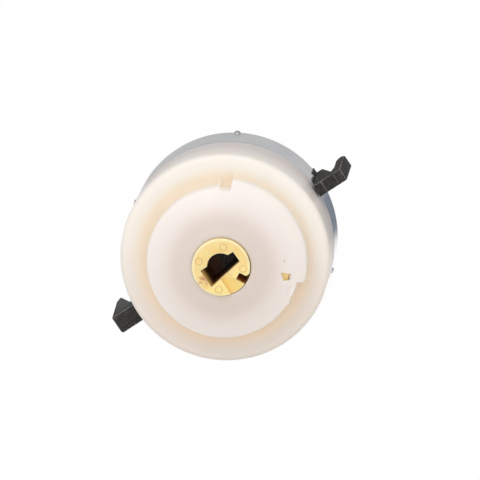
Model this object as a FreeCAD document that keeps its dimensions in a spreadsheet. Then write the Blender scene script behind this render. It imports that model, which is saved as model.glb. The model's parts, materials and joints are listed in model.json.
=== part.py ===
import FreeCAD, Part
import math
import os

import Sketcher
from FreeCAD import Placement, Rotation, Vector

# An electrical ignition switch, seen in use from its lock side.
# +Z runs along the switch axis, out of the front face. +X points to the narrow release arm.
# The origin is the centre of the connector shroud's rim, where the switch stands on a table.
# All sizes are in millimetres and all angles in degrees.

# Driving sizes of the housing
size = {
    "body_radius": 19.5,
    "cover_wall": 13.5,
    "band_length": 10.9,
    "band_thick": 0.5,
    "edge_round": 1.2,
    "boss_radius": 14.15,
    "boss_wide_radius": 15.45,
    "boss_wide_start": -48.0,
    "boss_wide_end": 50.1,
    "boss_height": 4.2,
    "dome_rise": 3.9,
    "dome_radius": 24.4,
    "shell_wall": 2.2,
    "face_wall": 2.4,
    "roof_rise": 0.3,
    "dome_wall": 1.6,
    "collar_depth": 5.2,
    "base_disc": 4.9,
    "base_flange": 2.0,
    "spigot_rise": 0.9,
    "arm_reach": 25.75,
    "arm_gap": 0.3,
    "arm_set_back": 9.4,
    "arm_root_rise": 4.2,
    "arm_under_skirt": 0.1,
    "narrow_arm_width": 2.45,
    "wide_arm_width": 3.45,
    "cheek_width": 1.05,
    "cheek_height": 5.0,
    "running_gap": 0.2,
    "close_gap": 0.05,
    "mating_gap": 0.4,
}

# Driving sizes of the connector
size.update({
    "plug_depth": 14.6,
    "socket_floor": 1.6,
    "socket_half_x": 11.5,
    "socket_half_y": 7.1,
    "shroud_wall": 1.5,
    "shroud_corner": 3.4,
    "blade_width": 2.8,
    "blade_thick": 0.8,
    "blade_taper": 0.6,
    "blade_row": 4.9,
    "blade_inner": 3.4,
    "blade_outer": 9.2,
    "latch_land": 1.2,
    "latch_out": 1.5,
    "rib_in": 1.2,
    "rib_low": 3.0,
})

# Driving sizes of what turns, and of the contacts
size.update({
    "rotor_radius": 5.36,
    "rotor_proud": 0.8,
    "rotor_flange_radius": 12.3,
    "rotor_flange_thick": 1.9,
    "rotor_flange_drop": 1.1,
    "rotor_rim_rise": 2.6,
    "rotor_chamfer": 0.25,
    "rotor_step_drop": 0.6,
    "neck_length": 5.8,
    "drive_rise": 4.0,
    "hub_play": 0.4,
    "carrier_floor_thick": 3.0,
    "carrier_rim_height": 4.0,
    "tower_height": 9.2,
    "spring_pocket_depth": 7.8,
    "guide_depth": 2.0,
    "detent_step": 30.0,
    "bridge_first": 100.0,
    "bridge_step": 120.0,
    "bridge_lift": 0.65,
    "bridge_thick": 0.8,
    "contact_gap": 0.04,
    "spring_gap": 0.27,
    "leaf_lift": 0.8,
    "pad_thick": 0.8,
    "lead_thick": 0.8,
    "lead_drop": 3.2,
    "washer_thick": 0.5,
    "return_lift": 0.45,
})

# Heights above the rim, worked out from the driving sizes
size["base_low"] = size["plug_depth"] + size["socket_floor"]
size["flange_low"] = size["base_low"] + size["base_disc"]
size["flange_high"] = size["flange_low"] + size["base_flange"]
size["base_top"] = size["flange_high"] + size["spigot_rise"]
size["band_rear"] = size["flange_low"] - size["band_thick"]
size["band_front"] = size["band_rear"] + size["band_length"]
size["ring_face"] = size["band_front"] + size["cover_wall"]
size["edge_low"] = size["ring_face"] - size["edge_round"]
size["boss_edge"] = size["ring_face"] + size["boss_height"]
size["dome_top"] = size["boss_edge"] + size["dome_rise"]
size["rotor_face"] = size["dome_top"] + size["rotor_proud"]
size["arm_front"] = size["ring_face"] - size["arm_set_back"]
size["collar_low"] = size["dome_top"] - size["collar_depth"]
size["flange_over"] = size["collar_low"] - size["rotor_flange_drop"]
size["flange_under"] = size["flange_over"] - size["rotor_flange_thick"]
size["neck_low"] = size["flange_under"] - size["neck_length"]
size["hub_top"] = size["neck_low"] - size["hub_play"]
size["drive_low"] = size["base_top"] + size["drive_rise"]
size["carrier_low"] = size["base_top"] + size["mating_gap"]
size["carrier_floor"] = size["carrier_low"] + size["carrier_floor_thick"]
size["carrier_rim"] = size["carrier_floor"] + size["carrier_rim_height"]
size["bridge_low"] = size["base_top"] + size["bridge_lift"]


def terms(**more):
    """Add worked-out sizes to the table."""
    size.update(more)


# The front cover's own radii, heights and angles
bore_radius = size["rotor_radius"] + size["running_gap"]
dome_centre = size["dome_top"] - math.sqrt(size["dome_radius"] ** 2 - bore_radius ** 2)
terms(
    bore_radius=bore_radius,
    edge_inner=size["body_radius"] - size["edge_round"],
    boss_wide_edge=dome_centre + math.sqrt(size["dome_radius"] ** 2 - size["boss_wide_radius"] ** 2),
    skirt_radius=size["body_radius"] - size["band_thick"] - size["close_gap"],
    skirt_inner=size["body_radius"] - size["shell_wall"],
    skirt_low=size["flange_high"] + size["close_gap"],
    ring_under=size["ring_face"] - size["face_wall"],
    boss_inner=12.7,
    roof_low=size["boss_edge"] + size["roof_rise"],
    roof_high=size["dome_top"] - size["dome_wall"],
    collar_radius=7.4,
    relief_outer=17.5,
    relief_depth=9.6,
    keyway_floor=13.7,
    keyway_start=50.1,
    keyway_end=58.0,
    notch_floor=12.9,
    notch_low=size["boss_edge"] + 0.3,
    notch_start=-59.5,
    notch_end=-52.0,
    nib_radius=14.45,
    nib_height=3.4,
    key_nib_start=58.0,
    key_nib_end=60.0,
    notch_nib_start=-67.5,
    notch_nib_end=-64.8,
    window_left=7.7,
    window_left_low=8.8,
    window_mid=8.75,
    window_mid_low=9.4,
    window_right=9.45,
    window_right_low=8.5,
    window_top=8.2,
    window_top_low=7.15,
)

# The steel band and the rear base
terms(
    band_inner=size["body_radius"] - size["band_thick"],
    band_lip=17.7,
    lug_radius=19.9,
    lug_half=0.65,
    lug_height=1.5,
    lug_angle=54.0,
    flange_radius=size["body_radius"] - size["band_thick"] - size["close_gap"],
    disc_radius=17.5,
    spigot_radius=size["skirt_inner"] - size["close_gap"],
    pivot_hole=2.6,
    pivot_low=20.4,
)

# The connector shroud
terms(
    shroud_height=size["base_low"],
    shroud_half_x=size["socket_half_x"] + size["shroud_wall"],
    shroud_half_y=size["socket_half_y"] + size["shroud_wall"],
    socket_corner=2.0,
    latch_width=6.4,
    latch_low=4.0,
    latch_high=7.2,
    rib_left=5.6,
    rib_right=7.0,
    rib_height=size["plug_depth"] - size["rib_low"],
)
terms(
    shroud_half_x_flat=size["shroud_half_x"] - size["shroud_corner"],
    shroud_half_y_flat=size["shroud_half_y"] - size["shroud_corner"],
    socket_half_x_flat=size["socket_half_x"] - size["socket_corner"],
    socket_half_y_flat=size["socket_half_y"] - size["socket_corner"],
    latch_reach=size["shroud_half_y"] + size["latch_out"],
    latch_back=size["latch_high"] + size["latch_land"],
    rib_face=size["socket_half_y"] - size["rib_in"],
)

# The release arms, as outlines in the plane of the arms
arm_front = size["arm_front"]
terms(
    arm_inner=size["body_radius"] + size["arm_gap"],
    arm_root=16.0,
    arm_root_low=size["base_low"] + size["arm_root_rise"],
    arm_root_high=size["flange_high"] - size["arm_under_skirt"],
    arm_neck=20.7,
    arm_fold_x=23.5,
    arm_fold_z=arm_front - 4.1,
    leg_inner=24.0,
    leg_inner_top=arm_front - 6.8,
    leg_inner_low=arm_front - 13.5,
    leg_tip_inner=24.7,
    leg_tip_outer=25.4,
    leg_tip_z=arm_front - 15.5,
    leg_outer_low=arm_front - 14.6,
    wide_fold_x=22.45,
    wide_fold_z=arm_front - 6.7,
    wide_tip_inner=25.9,
    wide_tip_outer=26.25,
    wide_tip_z=arm_front - 20.0,
    wide_outer_x=26.65,
    wide_outer_low=arm_front - 17.6,
    wide_arm_side=0.74,
)

# The cheeks beside the arms' roots, and the cut-outs in the band that they fill
narrow_cheek = size["narrow_arm_width"] / 2 + size["cheek_width"]
wide_cheek = size["wide_arm_width"] / 2 + size["cheek_width"]
terms(
    cheek_low=size["arm_root_low"],
    cheek_inner=size["body_radius"] - size["band_thick"],
    narrow_cheek_near=-narrow_cheek,
    narrow_cheek_far=narrow_cheek,
    wide_cheek_near=-wide_cheek - size["wide_arm_side"],
    wide_cheek_far=wide_cheek - size["wide_arm_side"],
    gate_inner=17.2,
    gate_outer=20.0,
    narrow_gate_near=-narrow_cheek - size["close_gap"],
    narrow_gate_far=narrow_cheek + size["close_gap"],
    wide_gate_near=-wide_cheek - size["wide_arm_side"] - size["close_gap"],
    wide_gate_far=wide_cheek - size["wide_arm_side"] + size["close_gap"],
    gate_height=size["arm_root_low"] + size["cheek_height"] - size["band_rear"] + size["close_gap"],
)

# The rotor, its slot, its cross groove and its deep pocket
terms(
    step_radius=7.5,
    rim_inner=10.4,
    rim_crest=size["flange_over"] + size["rotor_rim_rise"],
    step_over=size["collar_low"] - size["rotor_step_drop"],
    rotor_neck=6.2,
    face_inner=size["rotor_radius"] - size["rotor_chamfer"],
    chamfer_low=size["rotor_face"] - size["rotor_chamfer"],
    drive_half=3.45,
    drive_height=size["neck_low"] - size["drive_low"],
    slot_depth=11.5,
    slot_left=3.43,
    slot_left_low=2.0,
    slot_left_high=1.53,
    slot_right=3.45,
    slot_right_low=0.96,
    slot_right_high=1.15,
    bulge_left=2.1,
    bulge_right=2.33,
    bulge_radius=2.6,
    groove_depth=1.1,
    groove_left=1.33,
    groove_right=0.85,
    groove_near=1.2,
    groove_far=6.0,
    groove_bend=3.3,
    groove_mouth=3.4,
    pocket_depth=7.0,
    pocket_mouth_low=2.6,
    pocket_mouth_high=4.7,
    pocket_out=3.9,
    pocket_right=2.96,
    pocket_side=3.77,
    pocket_tip=2.32,
    pocket_high=2.64,
)

# The thrust washer and the return spring
terms(
    washer_low=size["step_over"] + size["close_gap"],
    washer_inner=5.6,
    washer_outer=7.3,
    return_radius=6.75,
    return_wire=0.4,
    return_pitch=1.05,
    return_turns_height=3.9,
    return_low=size["hub_top"] + size["return_lift"],
)

# The contact carrier
terms(
    carrier_radius=14.4,
    carrier_rim_inner=12.9,
    hub_radius=7.2,
    pivot_radius=size["pivot_hole"] - size["close_gap"],
    pivot_foot=20.6,
    socket_side=3.5,
    drive_socket_depth=size["hub_top"] - size["drive_low"] + size["mating_gap"],
    tower_radius=3.2,
    tower_centre=9.1,
    pocket_radius=2.15,
    guide_near=4.9,
    guide_far=13.6,
    guide_half=1.6,
    notch_radius=1.7,
    notch_centre=15.0,
    notch_height=size["carrier_rim_height"],
)

# The bridge contacts, their springs and the detent springs
terms(
    bridge_near=5.2,
    bridge_half=1.45,
    bridge_length=8.0,
    bridge_width=2.9,
    bridge_one=size["bridge_first"],
    bridge_two=size["bridge_first"] + size["bridge_step"],
    bridge_three=size["bridge_first"] + 2 * size["bridge_step"],
    dimple_low=size["base_top"] + size["contact_gap"],
    dimple_height=size["bridge_lift"] - size["contact_gap"],
    dimple_tip=0.7,
    dimple_radius=1.1,
    dimple_near=6.4,
    dimple_far=11.8,
    spring_low=size["bridge_low"] + size["bridge_thick"] + size["spring_gap"],
    spring_radius=1.55,
    spring_wire=0.22,
    spring_pitch=1.05,
    spring_height=6.2,
    leaf_low=size["carrier_floor"] + size["leaf_lift"],
    leaf_height=2.6,
    leaf_end_x=9.5,
    leaf_end_low=14.05,
    leaf_end_high=14.4,
    leaf_bend_x=2.6,
    leaf_bend_low=15.5,
    leaf_bend_high=15.9,
    leaf_tip=13.4,
    leaf_valley=13.95,
    near_leaf=0.0,
    far_leaf=180.0,
)

# The terminals: blades, pads on the two tracks, and the lead of the start terminal
terms(
    blade_tip=5.0,
    blade_taper_z=6.2,
    blade_half=size["blade_width"] / 2,
    blade_tip_half=size["blade_width"] / 2 - size["blade_taper"],
    pad_low=size["base_top"] - size["pad_thick"],
    feed_near=4.9,
    feed_far=7.9,
    track_near=10.2,
    track_far=13.4,
    feed_one_start=5.0,
    feed_one_end=105.0,
    feed_two_start=118.0,
    feed_two_end=-135.0,
    feed_three_start=-115.0,
    feed_three_end=-12.0,
    accessory_start=3.0,
    accessory_end=75.0,
    run_start=125.0,
    run_end=165.0,
    lamp_start=-160.0,
    lamp_end=-134.0,
    parking_start=-32.0,
    parking_end=-13.0,
    start_start=-117.0,
    start_end=-98.0,
    lead_low=size["base_top"] - size["lead_drop"],
    lead_left=-5.0,
    lead_right=-2.6,
    lead_far=-11.9,
    lead_turn=-11.0,
    lead_near=-4.9,
    riser_height=size["lead_drop"] - size["pad_thick"],
)

doc = FreeCAD.newDocument("IgnitionSwitch")
sheet = doc.addObject("Spreadsheet::Sheet", "Sizes")
for row, alias in enumerate(sorted(size), start=1):
    sheet.set("A%d" % row, alias)
    sheet.set("B%d" % row, repr(round(size[alias], 5)))
    sheet.setAlias("B%d" % row, alias)
doc.recompute()

parts = []


def value(term):
    """The number behind a coordinate term, such as "arm_root" or "-blade_half"."""
    if term == "0":
        return 0.0
    if term.startswith("-"):
        return -size[term[1:]]
    return size[term]


def formula(term):
    """The same term as an expression on the sheet."""
    if term.startswith("-"):
        return "-Sizes." + term[1:]
    return "Sizes." + term


def bind(target, **terms_by_property):
    """Tie an object's properties to cells of the sheet."""
    for prop, term in terms_by_property.items():
        target.setExpression(prop, formula(term))


def keep(target, label):
    """Name a finished sub-part and put it on the list of pieces."""
    target.Label = label
    parts.append(target)
    return target


def new_body(name):
    return doc.addObject("PartDesign::Body", name)


def new_sketch(body, name, role, lift=None):
    """A sketch on one of the body's own origin planes, lifted off it where a height is given."""
    sketch = body.newObject("Sketcher::SketchObject", name)
    plane = next(item for item in body.Origin.OriginFeatures if item.Role == role)
    sketch.AttachmentSupport = (plane, [""])
    sketch.MapMode = "FlatFace"
    if lift:
        sketch.setExpression(".AttachmentOffset.Base.z", formula(lift))
    return sketch


def limit(sketch, kind, *where, term):
    """A dimension of a sketch, driven by the sheet."""
    index = sketch.addConstraint(Sketcher.Constraint(kind, *where, value(term)))
    sketch.setExpression("Constraints[%d]" % index, formula(term))


def pin_point(sketch, line, end, across, up):
    """Hold one end of a line at a place given by two terms."""
    for kind, term in (("DistanceX", across), ("DistanceY", up)):
        if term == "0":
            axis = -2 if kind == "DistanceX" else -1
            sketch.addConstraint(Sketcher.Constraint("PointOnObject", line, end, axis))
        else:
            limit(sketch, kind, line, end, term=term)


def outline(sketch, corners, rounds=None):
    """A closed outline through corners, each a pair of terms.

    rounds maps a side's number to its radius term and to the side its centre is on, 1 for the left.
    """
    rounds = rounds or {}
    points = [Vector(value(across), value(up), 0) for across, up in corners]
    starts = []
    ends = []
    for number, begin in enumerate(points):
        finish = points[(number + 1) % len(points)]
        if number in rounds:
            term, side = rounds[number]
            chord = finish - begin
            middle = (begin + finish) * 0.5
            normal = Vector(-chord.y, chord.x, 0).normalize()
            reach = math.sqrt(value(term) ** 2 - (chord.Length / 2) ** 2)
            centre = middle + normal * (reach * side)
            first, last = sorted_angles(centre, begin, finish, side)
            whole = Part.Circle(centre, Vector(0, 0, 1), value(term))
            index = sketch.addGeometry(Part.ArcOfCircle(whole, first, last))
            starts.append((index, 1 if side > 0 else 2))
            ends.append((index, 2 if side > 0 else 1))
        else:
            index = sketch.addGeometry(Part.LineSegment(begin, finish))
            starts.append((index, 1))
            ends.append((index, 2))
    for number in range(len(points)):
        following = (number + 1) % len(points)
        sketch.addConstraint(Sketcher.Constraint("Coincident", *ends[number], *starts[following]))
    for number, (across, up) in enumerate(corners):
        pin_point(sketch, *starts[number], across, up)
    for number, (term, side) in rounds.items():
        limit(sketch, "Radius", starts[number][0], term=term)


def sorted_angles(centre, begin, finish, side):
    """The start and end angle of an arc that runs anticlockwise."""
    first = math.atan2(begin.y - centre.y, begin.x - centre.x)
    last = math.atan2(finish.y - centre.y, finish.x - centre.x)
    if side < 0:
        first, last = last, first
    if last < first:
        last += 2 * math.pi
    return first, last


def circle(sketch, radius, across="0", up="0"):
    """A circle whose centre is given by two terms."""
    centre = Vector(value(across), value(up), 0)
    index = sketch.addGeometry(Part.Circle(centre, Vector(0, 0, 1), value(radius)))
    pin_point(sketch, index, 3, across, up)
    limit(sketch, "Radius", index, term=radius)


def sector(sketch, near, far, start, end):
    """A ring sector about the origin, between two radii and two angles."""
    first = math.radians(value(start))
    last = math.radians(value(end))
    if last < first:
        last += 2 * math.pi
    middle = Part.Circle(Vector(0, 0, 0), Vector(0, 0, 1), value(near))
    outside = Part.Circle(Vector(0, 0, 0), Vector(0, 0, 1), value(far))
    inner = sketch.addGeometry(Part.ArcOfCircle(middle, first, last))
    outer = sketch.addGeometry(Part.ArcOfCircle(outside, first, last))
    sides = []
    for angle in (first, last):
        ray = Vector(math.cos(angle), math.sin(angle), 0)
        sides.append(sketch.addGeometry(Part.LineSegment(ray * value(near), ray * value(far))))
    for arc, radius in ((inner, near), (outer, far)):
        sketch.addConstraint(Sketcher.Constraint("Coincident", arc, 3, -1, 1))
        limit(sketch, "Radius", arc, term=radius)
    for side, place, angle in ((sides[0], 1, start), (sides[1], 2, end)):
        sketch.addConstraint(Sketcher.Constraint("Coincident", side, 1, inner, place))
        sketch.addConstraint(Sketcher.Constraint("Coincident", side, 2, outer, place))
        sketch.addConstraint(Sketcher.Constraint("PointOnObject", -1, 1, side))
        index = sketch.addConstraint(Sketcher.Constraint("Angle", side, math.radians(value(angle))))
        sketch.setExpression("Constraints[%d]" % index, formula(angle))


def revolve(body, sketch, name, kind="PartDesign::Revolution"):
    """Turn a profile about the switch axis."""
    feature = body.newObject(kind, name)
    feature.Profile = sketch
    feature.ReferenceAxis = (sketch, ["V_Axis"])
    feature.Angle = 360.0
    sketch.Visibility = False
    return feature


def extrude(body, sketch, name, length, kind="PartDesign::Pad", reverse=False, middle=False):
    """Pad or pocket a sketch by a length from the sheet."""
    feature = body.newObject(kind, name)
    feature.Profile = sketch
    feature.Length = value(length)
    feature.setExpression("Length", formula(length))
    feature.Reversed = reverse
    if middle:
        feature.Midplane = True
    sketch.Visibility = False
    return feature


def cut_down(body, sketch, name, length):
    """A pocket that runs down from its sketch."""
    return extrude(body, sketch, name, length, kind="PartDesign::Pocket")


def cut_up(body, sketch, name, length):
    """A pocket that runs up from its sketch."""
    return extrude(body, sketch, name, length, kind="PartDesign::Pocket", reverse=True)


def turned(target, term):
    """Turn a finished sub-part about the switch axis."""
    target.Placement = Placement(Vector(0, 0, 0), Rotation(Vector(0, 0, 1), value(term)))
    target.setExpression(".Placement.Rotation.Angle", formula(term))


# Front cover: a stepped moulding with a domed boss that is wider over a quarter of its rim
def front_cover():
    body = new_body("front_cover_body")
    shell = new_sketch(body, "cover_profile", "XZ_Plane")
    outline(
        shell,
        [
            ("skirt_radius", "skirt_low"),
            ("skirt_radius", "band_front"),
            ("body_radius", "band_front"),
            ("body_radius", "edge_low"),
            ("edge_inner", "ring_face"),
            ("boss_wide_radius", "ring_face"),
            ("boss_wide_radius", "boss_wide_edge"),
            ("bore_radius", "dome_top"),
            ("bore_radius", "collar_low"),
            ("collar_radius", "collar_low"),
            ("collar_radius", "roof_high"),
            ("boss_inner", "roof_low"),
            ("boss_inner", "ring_under"),
            ("skirt_inner", "ring_under"),
            ("skirt_inner", "skirt_low"),
        ],
        rounds={3: ("edge_round", 1), 6: ("dome_radius", 1)},
    )
    revolve(body, shell, "cover_shell")

    relief = new_sketch(body, "boss_relief_outline", "XY_Plane", "ring_face")
    sector(relief, "boss_radius", "relief_outer", "boss_wide_end", "boss_wide_start")
    cut_up(body, relief, "boss_relief", "relief_depth")

    keyway = new_sketch(body, "keyway_outline", "XY_Plane", "ring_face")
    sector(keyway, "keyway_floor", "relief_outer", "keyway_start", "keyway_end")
    cut_up(body, keyway, "keyway", "relief_depth")

    notch = new_sketch(body, "notch_outline", "XY_Plane", "notch_low")
    sector(notch, "notch_floor", "relief_outer", "notch_start", "notch_end")
    cut_up(body, notch, "notch", "relief_depth")

    for name, start, end in (
        ("key_nib", "key_nib_start", "key_nib_end"),
        ("notch_nib", "notch_nib_start", "notch_nib_end"),
    ):
        nib = new_sketch(body, name + "_outline", "XY_Plane", "ring_face")
        sector(nib, "keyway_floor", "nib_radius", start, end)
        extrude(body, nib, name, "nib_height")

    window = new_sketch(body, "window_outline", "XY_Plane", "ring_face")
    outline(
        window,
        [
            ("window_left", "-window_left_low"),
            ("window_mid", "-window_mid_low"),
            ("window_right", "-window_right_low"),
            ("window_top", "-window_top_low"),
        ],
    )
    cut_up(body, window, "window", "relief_depth")
    return keep(body, "front_cover")


# Steel band: rolled over the cover's skirt, its rear lip holding the base in, with four small lugs and
# a cut-out for the root of each release arm
def shell_band():
    body = new_body("shell_band_body")
    ring = new_sketch(body, "band_profile", "XZ_Plane")
    outline(
        ring,
        [
            ("band_lip", "band_rear"),
            ("body_radius", "band_rear"),
            ("body_radius", "band_front"),
            ("band_inner", "band_front"),
            ("band_inner", "flange_low"),
            ("band_lip", "flange_low"),
        ],
    )
    revolve(body, ring, "band_ring")
    for name, near, far, turn in (
        ("front_right_lug", "band_inner", "lug_radius", "lug_angle"),
        ("rear_right_lug", "band_inner", "lug_radius", "-lug_angle"),
        ("front_left_lug", "-lug_radius", "-band_inner", "-lug_angle"),
        ("rear_left_lug", "-lug_radius", "-band_inner", "lug_angle"),
    ):
        lug = new_sketch(body, name + "_outline", "XY_Plane", "band_rear")
        outline(lug, rectangle(near, far, "-lug_half", "lug_half"))
        lug.setExpression(".AttachmentOffset.Rotation.Angle", formula(turn))
        extrude(body, lug, name, "lug_height")
    for name, inner, outer, near, far in (
        ("narrow_gate", "gate_inner", "gate_outer", "narrow_gate_near", "narrow_gate_far"),
        ("wide_gate", "-gate_outer", "-gate_inner", "wide_gate_near", "wide_gate_far"),
    ):
        gate = new_sketch(body, name + "_outline", "XY_Plane", "band_rear")
        outline(gate, rectangle(inner, outer, near, far))
        cut_up(body, gate, name, "gate_height")
    return keep(body, "shell_band")


# Terminal: a contact pad in the base's face, a lead under it where one is needed, and a blade
def terminal(label, near, far, start, end, across, row, lead=None):
    body = new_body(label + "_body")
    pad = new_sketch(body, label + "_pad_outline", "XY_Plane", "pad_low")
    sector(pad, near, far, start, end)
    extrude(body, pad, label + "_pad", "pad_thick")
    if lead:
        riser = new_sketch(body, label + "_riser_outline", "XY_Plane", "lead_low")
        outline(riser, rectangle(*lead["riser"]))
        extrude(body, riser, label + "_riser", "riser_height")
        strip = new_sketch(body, label + "_strip_outline", "XY_Plane", "lead_low")
        outline(strip, rectangle(*lead["strip"]))
        extrude(body, strip, label + "_strip", "lead_thick")
    blade = new_sketch(body, label + "_blade_outline", "XZ_Plane")
    blade.setExpression(".AttachmentOffset.Base.x", formula(across))
    blade.setExpression(".AttachmentOffset.Base.z", formula(negative(row)))
    top = "lead_low" if lead else "pad_low"
    outline(
        blade,
        [
            ("-blade_tip_half", "blade_tip"),
            ("blade_tip_half", "blade_tip"),
            ("blade_half", "blade_taper_z"),
            ("blade_half", top),
            ("-blade_half", top),
            ("-blade_half", "blade_taper_z"),
        ],
    )
    extrude(body, blade, label + "_blade", "blade_thick", middle=True)
    return keep(body, label)


def negative(term):
    return term[1:] if term.startswith("-") else "-" + term


def rectangle(left, right, low, high):
    """The four corners of a box, as pairs of terms."""
    return [(left, low), (right, low), (right, high), (left, high)]


def terminals():
    """Three feeds on the inner track and five outputs, eight blades in two rows."""
    start_lead = {
        "riser": ("lead_left", "lead_right", "lead_far", "lead_turn"),
        "strip": ("lead_left", "lead_right", "lead_far", "lead_near"),
    }
    return [
        terminal("feed_terminal_accessory", "feed_near", "feed_far", "feed_one_start", "feed_one_end",
                 "blade_inner", "blade_row"),
        terminal("feed_terminal_run", "feed_near", "feed_far", "feed_two_start", "feed_two_end",
                 "-blade_inner", "blade_row"),
        terminal("feed_terminal_start", "feed_near", "feed_far", "feed_three_start", "feed_three_end",
                 "blade_inner", "-blade_row"),
        terminal("accessory_terminal", "track_near", "track_far", "accessory_start", "accessory_end",
                 "blade_outer", "blade_row"),
        terminal("run_terminal", "track_near", "track_far", "run_start", "run_end",
                 "-blade_outer", "blade_row"),
        terminal("key_lamp_terminal", "track_near", "track_far", "lamp_start", "lamp_end",
                 "-blade_outer", "-blade_row"),
        terminal("parking_terminal", "track_near", "track_far", "parking_start", "parking_end",
                 "blade_outer", "-blade_row"),
        terminal("start_terminal", "track_near", "track_far", "start_start", "start_end",
                 "-blade_inner", "-blade_row", start_lead),
    ]


# Rear base: a disc with a spigot, the connector shroud and the two release arms, in one moulding.
# A cheek at each arm's root fills the band's cut-out and keeps the base from turning in the band.
def rear_base(inserts):
    body = new_body("rear_base_body")
    disc = new_sketch(body, "base_profile", "XZ_Plane")
    outline(
        disc,
        [
            ("0", "base_low"),
            ("disc_radius", "base_low"),
            ("disc_radius", "flange_low"),
            ("flange_radius", "flange_low"),
            ("flange_radius", "flange_high"),
            ("spigot_radius", "flange_high"),
            ("spigot_radius", "base_top"),
            ("pivot_hole", "base_top"),
            ("pivot_hole", "pivot_low"),
            ("0", "pivot_low"),
        ],
    )
    revolve(body, disc, "base_disc")

    shroud = new_sketch(body, "shroud_outline", "XY_Plane")
    rounded_rectangle(shroud, "shroud_half_x", "shroud_half_y", "shroud_corner")
    extrude(body, shroud, "shroud", "shroud_height")
    latch = new_sketch(body, "latch_outline", "YZ_Plane")
    outline(
        latch,
        [
            ("shroud_half_y", "latch_low"),
            ("latch_reach", "latch_high"),
            ("latch_reach", "latch_back"),
            ("shroud_half_y", "latch_back"),
        ],
    )
    extrude(body, latch, "latch_nose", "latch_width", middle=True)

    narrow = new_sketch(body, "narrow_arm_outline", "XZ_Plane")
    outline(
        narrow,
        [
            ("arm_root", "arm_root_low"),
            ("arm_neck", "arm_root_low"),
            ("arm_fold_x", "arm_fold_z"),
            ("leg_inner", "leg_inner_top"),
            ("leg_inner", "leg_inner_low"),
            ("leg_tip_inner", "leg_tip_z"),
            ("leg_tip_outer", "leg_tip_z"),
            ("arm_reach", "leg_outer_low"),
            ("arm_reach", "arm_front"),
            ("arm_inner", "arm_front"),
            ("arm_inner", "arm_root_high"),
            ("arm_root", "arm_root_high"),
        ],
    )
    extrude(body, narrow, "narrow_arm", "narrow_arm_width", middle=True)

    wide = new_sketch(body, "wide_arm_outline", "XZ_Plane")
    outline(
        wide,
        [
            ("-arm_root", "arm_root_high"),
            ("-arm_inner", "arm_root_high"),
            ("-arm_inner", "arm_front"),
            ("-arm_reach", "arm_front"),
            ("-wide_outer_x", "wide_outer_low"),
            ("-wide_tip_outer", "wide_tip_z"),
            ("-wide_tip_inner", "wide_tip_z"),
            ("-wide_fold_x", "wide_fold_z"),
            ("-arm_neck", "arm_root_low"),
            ("-arm_root", "arm_root_low"),
        ],
    )
    wide.setExpression(".AttachmentOffset.Base.z", formula("wide_arm_side"))
    extrude(body, wide, "wide_arm", "wide_arm_width", middle=True)
    for name, inner, outer, near, far in (
        ("narrow_cheek", "cheek_inner", "body_radius", "narrow_cheek_near", "narrow_cheek_far"),
        ("wide_cheek", "-body_radius", "-cheek_inner", "wide_cheek_near", "wide_cheek_far"),
    ):
        cheek = new_sketch(body, name + "_outline", "XY_Plane", "cheek_low")
        outline(cheek, rectangle(inner, outer, near, far))
        extrude(body, cheek, name, "cheek_height")

    socket = new_sketch(body, "socket_outline", "XY_Plane")
    rounded_rectangle(socket, "socket_half_x", "socket_half_y", "socket_corner")
    cut_up(body, socket, "socket", "plug_depth")
    for name, low, high in (("left_rib", "-rib_right", "-rib_left"), ("right_rib", "rib_left", "rib_right")):
        rib = new_sketch(body, name + "_outline", "XY_Plane", "rib_low")
        outline(rib, rectangle(low, high, "-socket_half_y", "-rib_face"))
        extrude(body, rib, name, "rib_height")

    group = doc.addObject("Part::MultiFuse", "terminal_group")
    group.Shapes = inserts
    cut = doc.addObject("Part::Cut", "rear_base_moulding")
    cut.Base = body
    cut.Tool = group
    return keep(cut, "rear_base")


def rounded_rectangle(sketch, half_x, half_y, corner):
    """A rectangle about the origin with round corners, all driven by the sheet."""
    inner_x = half_x + "_flat"
    inner_y = half_y + "_flat"
    corners = [
        ("-" + inner_x, "-" + half_y),
        (inner_x, "-" + half_y),
        (half_x, "-" + inner_y),
        (half_x, inner_y),
        (inner_x, half_y),
        ("-" + inner_x, half_y),
        ("-" + half_x, inner_y),
        ("-" + half_x, "-" + inner_y),
    ]
    outline(sketch, corners, rounds={side: (corner, 1) for side in (1, 3, 5, 7)})


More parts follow.
